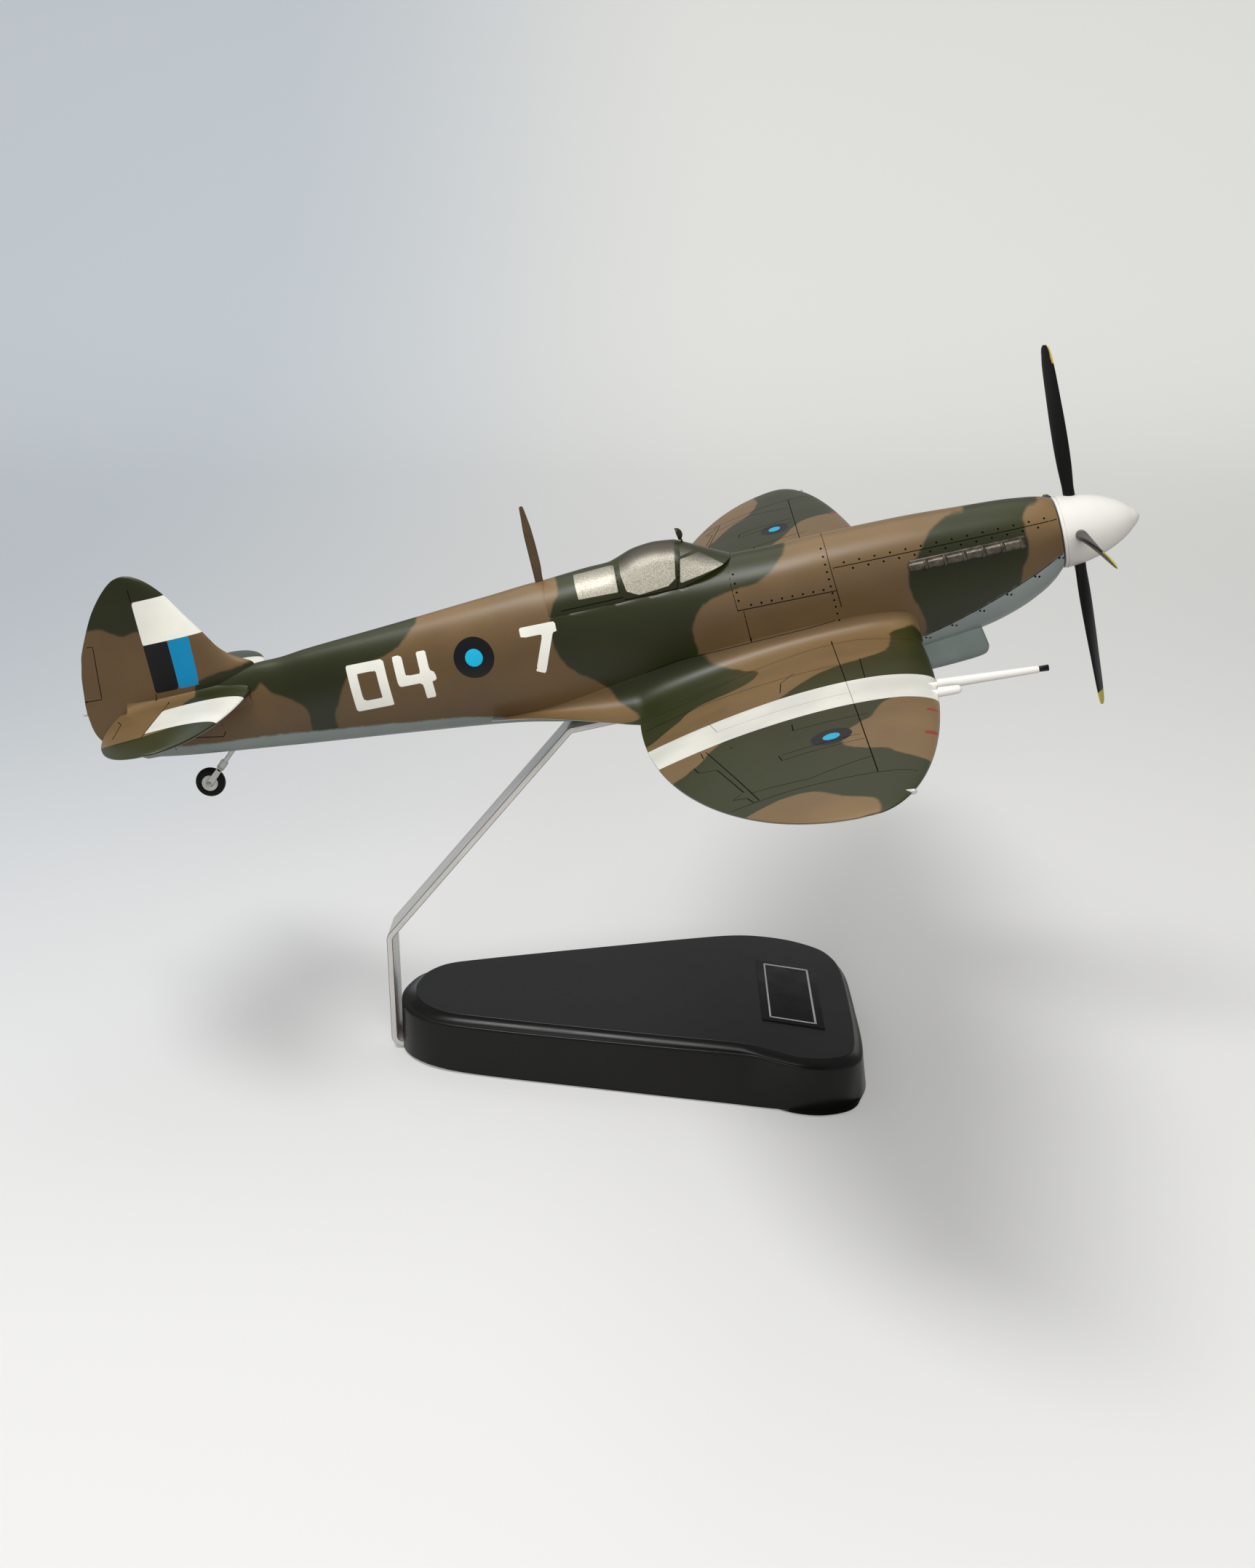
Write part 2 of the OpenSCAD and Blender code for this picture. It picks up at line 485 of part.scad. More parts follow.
module tail_unit() color(brown) on_plane() difference() {
  resize([0, 0, 0]) union() {
    loft([for (x = tail_xs) body_ring(x)]);
    fin();
    for (s = [0, 1]) mirror([0, s, 0]) {
      loft([tp_ring(tail_joint_y), tp_ring(8), tp_ring(4), tp_ring(0.4)]);
      for (u = [1, -1]) loft([for (x = tail_fillet_xs) tail_fillet_ring(x, u)]);
    }
  }
  for (s = [0, 1]) mirror([0, s, 0]) for (x = tail_pin_xs) tail_pin_at(x, tail_dowel_d);
  for (p = tail_pins) frame_pin(p);
  on_strut() translate([12, 0, 0]) rotate([0, 90, 0]) cylinder(d = strut_d, h = 13, $fn = 24);
}
module wing_half(port) on_plane() mirror([0, port ? 0 : 1, 0]) difference() {
  resize([0, 0, 0]) on_wing() wing_panel();
  for (x = dowel_xs) wing_dowel_at(x, dowel_d);
  gun_axis() translate([-14, 0, 0]) rotate([0, 90, 0]) cylinder(d = spigot_d, h = 22, $fn = 24);
  stub_axis() translate([-8, 0, 0]) rotate([0, 90, 0]) cylinder(d = spigot_d, h = 16, $fn = 24);
  light_axis() translate([-3, 0, 0]) rotate([0, 90, 0]) cylinder(d = light_d, h = 8, $fn = 24);
}
spigot_d = 2.2;
light_d = 1.8;
gun_y = 126;
stub_y = 138;
light_y = half_span - 14.7;
gun_len = 43.4;
gun_droop = 3.6;
gun_d = 4.3;
gun_tip_d = 2.8;
muzzle_d = 2.5;
gun_core_d = 1.3;
stub_d = 3.3;
muzzle_len = 3.8;
// frame on the leading edge at span station y, moved forward by out and up by up
module on_edge(y, out, up, turn) on_wing()
  translate([le_part * wing_c(y) + out, y, y * tan(dihedral) + up]) rotate(turn) children();
module gun_axis() on_edge(gun_y, -0.13, 1.5, [0, gun_droop + incidence, 0]) children();
module stub_axis() on_edge(stub_y, -0.52, 1.14, [0, gun_droop + incidence, 0]) children();
module light_axis() on_edge(light_y, 0, 0.2, [0, 0, 24]) children();
module cannon() on_plane() gun_axis() rotate([0, 90, 0]) {
  translate([0, 0, -14]) cylinder(d = spigot_d, h = 14.5, $fn = 24);
  difference() {
    translate([0, 0, 0.4]) cylinder(d1 = gun_d, d2 = gun_tip_d, h = gun_len - muzzle_len - 0.4, $fn = 24);
    translate([0, 0, gun_len - muzzle_len - 3]) cylinder(d = gun_core_d, h = 4, $fn = 24);
  }
}
module muzzle() on_plane() gun_axis() rotate([0, 90, 0]) difference() {
  union() {
    translate([0, 0, gun_len - muzzle_len]) cylinder(d1 = muzzle_d - 0.3, d2 = muzzle_d, h = muzzle_len, $fn = 24);
    translate([0, 0, gun_len - muzzle_len - 3]) cylinder(d = gun_core_d, h = 4, $fn = 24);
  }
  translate([0, 0, gun_len - 2.4]) cylinder(d = 1.5, h = 4, $fn = 24);
}
module gun_stub() on_plane() stub_axis() {
  rotate([0, 90, 0]) translate([0, 0, -8]) cylinder(d = spigot_d, h = 9, $fn = 24);
  rotate([0, 90, 0]) translate([0, 0, 0.6]) cylinder(d1 = stub_d + 0.6, d2 = stub_d, h = 7.4, $fn = 24);
  translate([8, 0, 0]) sphere(d = stub_d, $fn = 24);
}
module wing_light() on_plane() light_axis() {
  translate([-3, 0, 0]) rotate([0, 90, 0]) cylinder(d = light_d, h = 3.6, $fn = 24);
  translate([0.6, 0, 0]) sphere(d = light_d, $fn = 24);
}
module sided(port) mirror([0, port ? 0 : 1, 0]) children();

module tailplane_half(port) color(green) on_plane() sided(port) difference() {
  resize([0, 0, 0]) tailplane();
  for (x = tail_pin_xs) tail_pin_at(x, tail_dowel_d);
}
module tailplane_port() tailplane_half(true);
module tailplane_starboard() tailplane_half(false);
module wing_dowels() color(bright) on_plane()
  for (s = [0, 1]) mirror([0, s, 0]) for (x = dowel_xs) wing_dowel_at(x, dowel_d);
module tail_dowels() color(bright) on_plane() {
  for (s = [0, 1]) mirror([0, s, 0]) for (x = tail_pin_xs) tail_pin_at(x, tail_dowel_d);
  for (p = tail_pins) frame_pin(p);
}

module windscreen() color(pane) difference() {
  glass_part(glass_x0, hood_x0);
  on_plane() mirror_axis() cylinder(d = post_d, h = 5, $fn = 16);
}
module canopy_hood() color(pane) glass_part(hood_x0, hood_x1);
module rear_glazing() color(pane) glass_part(hood_x1, glass_x1);
post_d = 0.9;
mirror_d = 5.8;
module mirror_axis() translate([-198.2, 0, 30.2]) rotate([0, -10, 0]) children();
module rear_mirror() color(pewter) on_plane() mirror_axis() {
  cylinder(d = post_d, h = 5, $fn = 16);
  translate([-1, 0, 6.3]) difference() {
    scale([0.9, 0.9, 1]) sphere(d = mirror_d, $fn = 28);
    translate([-mirror_d, -mirror_d, -mirror_d]) cube([mirror_d, 2 * mirror_d, 2 * mirror_d]);
  }
}
module antenna_mast() color(brown) on_plane() mast_shape();

stack_n = 6;
stack_step = 8.4;
module exhausts(port) color(pewter) on_plane() sided(port) {
  stack_block(2.6);
  for (i = [0:stack_n - 1]) translate([stack_x - i * stack_step, pocket_y + 3.4 + 0.9 * sin(30 * i), stack_z])
    rotate([0, -90, -3]) {
      cylinder(d1 = 4.1, d2 = 3.5, h = 8.2, $fn = 20);
      translate([0, 0, 0.6]) cylinder(d = 5, h = 0.9, $fn = 20);
    }
}
// carburettor scoop: station, bottom, half width
SC = [[-74.2, -43.4, 6], [-74.8, -45.2, 7], [-76, -46.5, 7.5], [-79, -47.3, 7.8], [-85, -47.9, 8],
  [-98, -48.6, 8], [-112, -48.8, 7.8], [-130, -47.9, 7.2], [-150, -45.5, 5.6], [-160, -43.8, 4]];
scoop_xs = [-74.2, -74.5, -75, -76, -77.5, -79.5, -82.5, -86, -92, -100, -110, -120, -130, -140, -150, -159];
scoop_top = -33;
mouth_wall = 0.9;
mouth_in = 7;
// the lip leans back over its height
function scoop_lean(x, z) = 0.22 * max(0, z + 43) * max(0, 1 + (x - SC[0][0]) / 16);
function scoop_ring(x, g) = let (b = at(SC, x, 1) + g, w = at(SC, x, 2) - g, t = scoop_top)
  [for (j = [0:15]) let (a = 180 + 180 * j / 15, z = t + (t - b) * sp(sin(a), 0.6))
    [x - scoop_lean(x, z), w * sp(cos(a), 0.6), z]];
module scoop_mouth() let (R = scoop_ring(-77, mouth_wall + 0.4))
  loft([for (x = [SC[0][0] + 4, SC[0][0] - mouth_in]) [for (p = R) [x, p[1], min(p[2], scoop_top - 2.6)]]]);
module air_intake() color(grey) on_plane() resize([0, 0, 0]) difference() {
  loft([for (x = scoop_xs) scoop_ring(x, 0)]);
  hull_shape();
  scoop_mouth();
}
// under-wing radiators: side view from the wing datum, width and mouth
rad_w = 27;
RAD = [[-12, 0], [-14, -14.5], [-62, -15.5], [-68, -2], [-66, 4], [-16, 4]];
rad_mouth_w = rad_w - 3;
rad_mouth_h = 7;
rad_mouth_z = -12.6;
rad_y = 66;
module rad_block() translate([0, rad_y, 0]) rotate([90, 0, 0])
  linear_extrude(height = rad_w, center = true) polygon(RAD);
module rad_mouth() translate([0, rad_y - rad_mouth_w / 2, rad_mouth_z]) {
  translate([RAD[1][0] - 2.8, 0, 0]) cube([6, rad_mouth_w, rad_mouth_h]);
  translate([RAD[3][0], 0, 0]) cube([7.6, rad_mouth_w, rad_mouth_h]);
}
module radiator(port) color(grey) on_plane() sided(port) on_wing() resize([0, 0, 0]) difference() {
  rad_block();
  wing_panel();
  rad_mouth();
}

module tail_light() color(pewter) on_plane() translate([-482, 0, 14]) rotate([0, -90, 0]) {
  cylinder(d = 1.8, h = 1.4, $fn = 20);
  translate([0, 0, 1.4]) sphere(d = 1.5, $fn = 20);
}
module tail_strut() color(bright) on_plane() on_strut() rotate([0, 90, 0])
  translate([0, 0, 9]) cylinder(d = strut_d, h = 16, $fn = 24);
leg_y = tyre_w / 2 + 0.55;
module tail_fork() color(bright) on_plane() on_strut() difference() {
  union() {
    for (s = [-1, 1]) translate([0, s * (leg_y + 0.6), 0]) rotate([90, 0, 0])
      linear_extrude(height = 1.2, center = true)
      polygon([[-1.6, -0.7], [-0.9, -1.5], [0.6, -1.6], [8.4, -1.3], [9.2, -0.9], [9.2, 0.9], [8.4, 1.3],
        [0.6, 1.6], [-0.9, 1.5], [-1.6, 0.7]]);
    translate([7.8, -leg_y - 1.2, -1.25]) cube([1.6, 2 * leg_y + 2.4, 2.5]);
    rotate([0, 90, 0]) translate([0, 0, 8]) cylinder(d = 3.6, h = 4.6, $fn = 24);
  }
  rotate([0, 90, 0]) translate([0, 0, 9]) cylinder(d = strut_d, h = 8, $fn = 24);
  rotate([90, 0, 0]) cylinder(d = axle_d, h = 20, center = true, $fn = 24);
}
module wheel_axle() color(pewter) on_plane() on_strut() rotate([90, 0, 0]) {
  cylinder(d = axle_d, h = 2 * leg_y + 2.4, center = true, $fn = 24);
  for (s = [-1, 1]) translate([0, 0, s * (leg_y + 1.5)]) cylinder(d = axle_d + 0.9, h = 0.6, center = true, $fn = 24);
}
hub_d = 7.4;
module wheel_hub() color(bright) on_plane() on_strut() rotate([90, 0, 0]) rotate_extrude($fn = 40)
  polygon([[axle_d / 2 + run_fit, -tyre_w / 2 - 0.2], [axle_d / 2 + 0.9, -tyre_w / 2 - 0.2],
    [axle_d / 2 + 0.9, -tyre_w / 2 + 0.5], [hub_d / 2 - 0.5, -tyre_w / 2 + 0.5],
    [hub_d / 2 - 0.3, -tyre_w / 2 + 0.1], [hub_d / 2, -tyre_w / 2 + 0.1], [hub_d / 2, tyre_w / 2 - 0.1],
    [hub_d / 2 - 0.3, tyre_w / 2 - 0.1], [hub_d / 2 - 0.5, tyre_w / 2 - 0.5],
    [axle_d / 2 + 0.9, tyre_w / 2 - 0.5], [axle_d / 2 + 0.9, tyre_w / 2 + 0.2],
    [axle_d / 2 + run_fit, tyre_w / 2 + 0.2]]);
tyre_h = (tyre_d - hub_d) / 2;
module wheel_tyre() color(rubber) on_plane() on_strut() rotate([90, 0, 0]) rotate_extrude($fn = 40)
  polygon([for (p = [[0, -0.42], [0.12, -0.46], [0.45, -0.5], [0.7, -0.46], [0.88, -0.34], [0.98, -0.15],
    [0.98, 0.15], [0.88, 0.34], [0.7, 0.46], [0.45, 0.5], [0.12, 0.46], [0, 0.42]])
    [hub_d / 2 + p[0] * tyre_h / 0.98, p[1] * tyre_w]]);

// ---- propeller ----
blade_x = -28.6;
// where the propeller rests
blade_turn = -1.5;
shaft_in = 8;
shaft_len = 23;
back_t = 1.5;
peg_in = 7;
root_k = 0.199;
SPN = [[0, 0], [0.006, 0.06], [0.03, 0.15], [0.063, 0.23], [0.11, 0.32], [0.18, 0.45], [0.26, 0.565],
  [0.36, 0.68], [0.48, 0.79], [0.62, 0.885], [0.77, 0.95], [0.9, 0.985], [1, 1]];
module peg(i) translate([blade_x, 0, 0]) rotate([90 * i + blade_turn, 0, 0]) translate([0, 0, peg_in])
  cylinder(d = peg_d, h = 12, $fn = 24);
module spinner() color(white) on_plane() difference() {
  rotate([0, -90, 0]) rotate_extrude($fn = 64)
    polygon(concat([for (p = SPN) [p[1] * spinner_d / 2, p[0] * spinner_len]], [[0, spinner_len]]));
  for (i = [0:3]) peg(i);
  translate([-spinner_len - 1, 0, 0]) rotate([0, 90, 0]) cylinder(d = shaft_d, h = shaft_in + 1, $fn = 32);
}
module backplate() color(white) on_plane() difference() {
  translate([-spinner_len - back_t, 0, 0]) rotate([0, 90, 0])
    cylinder(d = spinner_d - 0.4, h = back_t, $fn = 64);
  translate([-spinner_len - 3, 0, 0]) rotate([0, 90, 0]) cylinder(d = shaft_d, h = 6, $fn = 32);
}
module prop_shaft() color(pewter) on_plane()
  translate([-spinner_len + shaft_in, 0, 0]) rotate([0, -90, 0]) cylinder(d = shaft_d, h = shaft_len, $fn = 32);
// share of radius, chord, angle to the plane of rotation, thickness
BL = [[root_k, peg_d + 0.8, 62, peg_d + 0.3], [0.235, 5.2, 60, 4.3], [0.28, 5.9, 56, 3.7], [0.34, 6.9, 51, 3.2],
  [0.42, 7.9, 45, 2.8], [0.5, 8.6, 40, 2.5], [0.6, 9, 36, 2.2], [0.7, 9, 32.5, 1.9], [0.8, 8.8, 30, 1.7],
  [0.88, 8.3, 28.5, 1.5], [0.94, 7.3, 27.5, 1.3], [0.975, 6, 27, 1.1], [0.993, 4.2, 27, 0.9],
  [1, 2.2, 27, 0.7]];
function blade_ring(b) = let (d = [sin(b[2]), -cos(b[2]), 0], n = [cos(b[2]), sin(b[2]), 0])
  [for (j = [0:15]) let (a = 22.5 * j)
    d * b[1] / 2 * cos(a) + n * b[3] / 2 * sp(sin(a), 0.9) + [0, 0, b[0] * prop_d / 2]];
module blade(i) color(black) on_plane() rotate([90 * i + blade_turn, 0, 0]) translate([blade_x, 0, 0]) {
  loft([for (k = [len(BL) - 1:-1:0]) blade_ring(BL[k])]);
  translate([0, 0, peg_in]) cylinder(d = peg_d, h = root_k * prop_d / 2 - peg_in + 0.8, $fn = 24);
}

base_board();
base_sheet();
support_arm();
arm_screws();
name_plate();
fuselage();
tail_unit();
color(green) wing_half(true);  // wing_port
color(green) wing_half(false);  // wing_starboard
tailplane_port();
tailplane_starboard();
wing_dowels();
tail_dowels();
windscreen();
canopy_hood();
rear_glazing();
rear_mirror();
antenna_mast();
exhausts(true);  // exhaust_port
exhausts(false);  // exhaust_starboard
air_intake();
radiator(true);  // radiator_port
radiator(false);  // radiator_starboard
color(white) sided(true) cannon();  // cannon_port
color(white) sided(false) cannon();  // cannon_starboard
color(black) sided(true) muzzle();  // muzzle_port
color(black) sided(false) muzzle();  // muzzle_starboard
color(white) sided(true) gun_stub();  // stub_port
color(white) sided(false) gun_stub();  // stub_starboard
color([0.6, 0.1, 0.1]) sided(true) wing_light();  // wing_light_port
color([0.1, 0.5, 0.2]) sided(false) wing_light();  // wing_light_starboard
tail_light();
tail_strut();
tail_fork();
wheel_axle();
prop_bush();
spinner();
backplate();
prop_shaft();
blade(0);  // blade_1
blade(1);  // blade_2
blade(2);  // blade_3
blade(3);  // blade_4
wheel_hub();
wheel_tyre();
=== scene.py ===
"""Dress of a desk display aircraft that rides on a bent bar above a black board.

The aircraft's skins are lofted in its own frame: zero at the spinner tip, X towards the
nose, Y to port and Z up, in millimetres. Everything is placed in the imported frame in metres.
"""
import json
import logging
import math
from dataclasses import dataclass, field
from enum import Enum

import bpy
import numpy as np
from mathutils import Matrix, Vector
from mathutils.bvhtree import BVHTree


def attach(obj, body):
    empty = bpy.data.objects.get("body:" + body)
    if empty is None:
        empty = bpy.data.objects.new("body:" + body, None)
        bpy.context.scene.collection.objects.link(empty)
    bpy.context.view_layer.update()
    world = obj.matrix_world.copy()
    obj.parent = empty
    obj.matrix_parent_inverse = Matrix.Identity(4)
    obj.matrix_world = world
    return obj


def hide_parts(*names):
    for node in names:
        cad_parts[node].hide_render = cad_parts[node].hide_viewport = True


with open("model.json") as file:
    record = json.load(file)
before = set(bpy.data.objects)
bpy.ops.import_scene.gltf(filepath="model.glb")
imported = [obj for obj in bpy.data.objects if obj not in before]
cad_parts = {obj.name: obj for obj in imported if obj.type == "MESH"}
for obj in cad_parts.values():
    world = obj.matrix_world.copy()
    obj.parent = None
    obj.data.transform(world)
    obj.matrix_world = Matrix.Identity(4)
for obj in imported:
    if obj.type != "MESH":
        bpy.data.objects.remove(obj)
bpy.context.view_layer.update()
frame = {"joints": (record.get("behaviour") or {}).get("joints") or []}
LOG = logging.getLogger("display_aircraft")
Array = np.ndarray
Socket = bpy.types.NodeSocket
MM = 0.001
FAR = -9.0
CORNERS = ((1, 1, 0), (-1, 1, 90), (-1, -1, 180), (1, -1, 270))


# ---- shapes
class Table:
    """Smooth table of values over stations."""

    def __init__(self, rows: list) -> None:
        """Sorts rows of numbers by their station, which comes first."""
        self.rows = np.array(sorted(rows), float)

    def at(self, x: Array, column: int) -> Array:
        """Value of one column at stations x, by cubic pieces.

        Args:
            x: Stations.
            column: Column to read.

        Returns:
            The values at x.
        """
        s, v = self.rows[:, 0], self.rows[:, column]
        q = np.clip(np.asarray(x, float), s[0], s[-1])
        i = np.clip(np.searchsorted(s, q, side="right") - 1, 0, len(s) - 2)
        g = np.gradient(v, s)
        g[1:-1] = (v[2:] - v[:-2]) / (s[2:] - s[:-2])
        h = s[i + 1] - s[i]
        u = (q - s[i]) / h
        return ((2 * u**3 - 3 * u**2 + 1) * v[i] + (u**3 - 2 * u**2 + u) * g[i] * h
                + (3 * u**2 - 2 * u**3) * v[i + 1] + (u**3 - u**2) * g[i + 1] * h)


def table(rows: list) -> Table:
    """Field of a dataclass that holds a table."""
    return field(default_factory=lambda: Table(rows))


def rounded_power(c: Array, e: Array) -> Array:
    """Power of the size of c with the sign of c."""
    return np.sign(c) * np.abs(c) ** e


def smooth_outline(points: list, per: int = 6) -> Array:
    """Closed curve through a few points.

    Args:
        points: Corner points of the outline.
        per: Points made for each corner.

    Returns:
        The outline as an array of points.
    """
    p = np.array(points, float)
    a, b, c, d = (np.roll(p, k, 0)[:, None] for k in (1, 0, -1, -2))
    t = (np.arange(per) / per)[None, :, None]
    square, cube = 2 * a - 5 * b + 4 * c - d, 3 * b - a - 3 * c + d
    return (0.5 * (2 * b + (c - a) * t + square * t**2 + cube * t**3)).reshape(-1, 2)


def inside_by(points: Array, outline: Array) -> Array:
    """How far points lie inside a closed outline, negative outside.

    Args:
        points: Points to test, two columns.
        outline: Corners of the outline.

    Returns:
        Signed distances, cut off at the far value.
    """
    best = np.full(len(points), FAR * FAR)
    odd = np.zeros(len(points), bool)
    for a, b in zip(outline, np.roll(outline, -1, 0)):
        d, r = b - a, points - a
        t = np.clip((r @ d) / max(d @ d, 1e-9), 0, 1)
        best = np.minimum(best, ((r - t[:, None] * d) ** 2).sum(1))
        cross = (a[1] > points[:, 1]) != (b[1] > points[:, 1])
        with np.errstate(divide="ignore", invalid="ignore"):
            odd ^= cross & (r[:, 0] < d[0] * r[:, 1] / d[1])
    return np.where(odd, 1, -1) * np.sqrt(best)


def inside_any(points: Array, outlines: list) -> Array:
    """How far points lie inside the nearest of several outlines."""
    return np.max([inside_by(points, np.array(o, float)) for o in outlines], 0)


def bar_distance(points: Array, a: tuple, b: tuple, width: float) -> Array:
    """How far points lie inside a square-ended stroke from a to b."""
    a, b = np.array(a, float), np.array(b, float)
    d = b - a
    length = np.linalg.norm(d)
    u = d / length
    r = points - (a + b) / 2
    along = np.abs(r @ u) - length / 2
    across = np.abs(r @ np.array([-u[1], u[0]])) - width / 2
    return -np.maximum(along, across)


@dataclass(frozen=True)
class AircraftFrame:
    """Place and attitude of the aircraft on its stand."""

    pitch: float
    tip: tuple
    disc_station: float = 28.6

    @classmethod
    def from_record(cls) -> "AircraftFrame":
        """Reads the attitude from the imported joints."""
        joints = {j["name"]: j for j in frame["joints"]}
        axis = np.array(joints["aircraft_slide"]["axis"], float)
        hub = np.array(joints["propeller_spin"]["pos_m"], float)
        return cls(math.atan2(axis[2], axis[0]), tuple(hub + axis * cls.disc_station * MM))

    def world(self, points: Array) -> Array:
        """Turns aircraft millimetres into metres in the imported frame.

        Args:
            points: Points in the last axis, in aircraft millimetres.

        Returns:
            The same points in metres.
        """
        c, s = math.cos(self.pitch), math.sin(self.pitch)
        x, y, z = points[..., 0], points[..., 1], points[..., 2]
        return np.stack([x * c - z * s, y, x * s + z * c], -1) * MM + np.array(self.tip)


AIR = AircraftFrame.from_record()


@dataclass
class Shell:
    """A closed skin through equal rings of points, with paint marks on its points."""

    points: Array
    marks: dict = field(default_factory=dict)

    def faces(self) -> list:
        """Faces that point outwards.

        Returns:
            Lists of point numbers.
        """
        m, n = self.points.shape[:2]
        i, j = np.meshgrid(np.arange(m - 1), np.arange(n), indexing="ij")
        a, b = i * n + j, i * n + (j + 1) % n
        quads = np.stack([a, b, b + n, a + n], -1).reshape(-1, 4)
        p = self.points.reshape(-1, 3)
        centre = p.mean(0)
        q = p[quads] - centre
        halves = np.cross(q[:, 1], q[:, 2]) + np.cross(q[:, 2], q[:, 3])
        volume = np.einsum("ij,ij->i", q[:, 0], halves).sum()
        first, last = list(range(n))[::-1], list(range((m - 1) * n, m * n))
        for ring in (first, last):
            r = p[ring] - centre
            volume += np.einsum("ij,ij->i", np.tile(r[0], (n - 2, 1)), np.cross(r[1:-1], r[2:])).sum()
        out = quads.tolist() + [first, last]
        return out if volume > 0 else [f[::-1] for f in out]

    def rise(self) -> Array:
        """Upward share of the outward direction.

        Returns:
            One value for each point, 1 where the skin faces up.
        """
        p = self.points
        out = np.cross(np.roll(p, -1, 1) - np.roll(p, 1, 1), np.gradient(p, axis=0))
        sign = np.sign((out * (p - p.mean((0, 1)))).sum())
        return sign * out[..., 2] / np.maximum(np.linalg.norm(out, axis=-1), 1e-15)


MARKS = ("green", "under", "white", "navy", "blue", "pane", "fade", "red")


def clipped(marks: dict, shape: tuple) -> dict:
    """Marks cut off at the far value, in the shape of their points."""
    return {k: np.clip(v, FAR, -FAR).reshape(shape) for k, v in marks.items()}


def place_object(name: str, data: bpy.types.ID) -> bpy.types.Object:
    """Adds an object to the scene."""
    thing = bpy.data.objects.new(name, data)
    bpy.context.scene.collection.objects.link(thing)
    return thing


def point_layer(mesh: bpy.types.Mesh, name: str, values: Array) -> None:
    """Keeps one value for each point of a mesh."""
    layer = mesh.attributes.new(name, "FLOAT", "POINT")
    layer.data.foreach_set("value", np.asarray(values).astype(np.float32))


def mesh_piece(name: str, shells: list, body: str, crease: float) -> bpy.types.Object:
    """Makes one piece from shells and lets it ride on a body.

    Args:
        name: Piece name.
        shells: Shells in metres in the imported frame.
        body: CAD body that carries the piece.
        crease: Angle above which an edge stays sharp, in degrees.

    Returns:
        The new object.
    """
    points, faces, base = [], [], 0
    for shell in shells:
        flat = shell.points.reshape(-1, 3)
        faces += [[base + k for k in f] for f in shell.faces()]
        points.append(flat)
        base += len(flat)
    mesh = bpy.data.meshes.new(name)
    mesh.from_pydata(np.vstack(points).tolist(), [], faces)
    mesh.validate()
    if any(s.marks for s in shells):
        for mark in MARKS:
            values = [np.ravel(s.marks.get(mark, np.full(s.points.shape[:2], FAR))) for s in shells]
            point_layer(mesh, mark, np.concatenate(values))
        # The rise of each point sets where shade is painted on the steep sides of the camouflage.
        point_layer(mesh, "rise", np.concatenate([np.ravel(s.rise()) for s in shells]))
    mesh.set_sharp_from_angle(angle=math.radians(crease))
    mesh.polygons.foreach_set("use_smooth", [len(f.vertices) <= 4 for f in mesh.polygons])
    piece = place_object(name, mesh)
    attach(piece, body)
    return piece


def revolve(profile: list, count: int = 96) -> Array:
    """Rings about the X axis.

    Args:
        profile: Pairs of station and radius.
        count: Points around.

    Returns:
        Ring points, one ring for each pair.
    """
    a = np.arange(count) * 2 * np.pi / count
    rows = [(np.full(count, x), r * np.cos(a), r * np.sin(a)) for x, r in profile]
    return np.array([np.stack(row, -1) for row in rows])


def turned(points: Array, degrees: float, axis: str) -> Array:
    """Points turned about a main axis by the right-hand rule."""
    c, s = math.cos(math.radians(degrees)), math.sin(math.radians(degrees))
    x, y, z = points[..., 0], points[..., 1], points[..., 2]
    rows = {"x": (x, y * c - z * s, y * s + z * c), "y": (x * c + z * s, y, z * c - x * s),
            "z": (x * c - y * s, x * s + y * c, z)}
    return np.stack(rows[axis], -1)


def box_rings(low: tuple, high: tuple, round_: float = 0.4, steps: int = 3) -> Array:
    """Rings along X of a box whose every edge is rounded.

    Args:
        low: Lowest corner.
        high: Highest corner.
        round_: Radius of the edges.
        steps: Steps in each rounding.

    Returns:
        Ring points.
    """
    low, high = np.array(low, float), np.array(high, float)
    centre, half = (low + high) / 2, (high - low) / 2
    a = np.linspace(0, np.pi / 2, steps + 1)
    ends = [(half[0] - round_ * (1 - np.sin(t)), round_ * (1 - np.cos(t))) for t in a]
    stations = [(-x, k) for x, k in ends[::-1]] + ends
    rings = []
    for x, k in stations:
        ring = []
        r = round_ - k if k < round_ else 0
        for sy, sz, start in CORNERS:
            for b in math.radians(start) + a:
                ring.append([x, sy * (half[1] - round_) + r * math.cos(b),
                             sz * (half[2] - round_) + r * math.sin(b)])
        rings.append(ring)
    return np.array(rings) + centre


# ---- finishes
def linear(colour: tuple) -> tuple:
    """Turns an 8-bit display colour into the shader's linear values."""
    c = np.array(colour, float) / 255
    return tuple(np.where(c <= 0.04045, c / 12.92, ((c + 0.055) / 1.055) ** 2.4)) + (1.0,)


class Nodes:
    """Adds and links the nodes of one tree."""

    def __init__(self, tree: bpy.types.NodeTree) -> None:
        """Takes the tree to fill."""
        self.tree = tree

    def add(self, kind: str, **settings: object) -> bpy.types.Node:
        """Adds a node and sets its properties."""
        node = self.tree.nodes.new(kind)
        for key, value in settings.items():
            setattr(node, key, value)
        return node

    def put(self, socket: Socket, value: object) -> None:
        """Links a socket, or sets it where the value is plain."""
        if isinstance(value, Socket):
            self.tree.links.new(value, socket)
        else:
            socket.default_value = value

    def math(self, how: str, a: object, b: object) -> Socket:
        """Works out one step of arithmetic."""
        node = self.add("ShaderNodeMath", operation=how)
        self.put(node.inputs[0], a)
        self.put(node.inputs[1], b)
        return node.outputs[0]


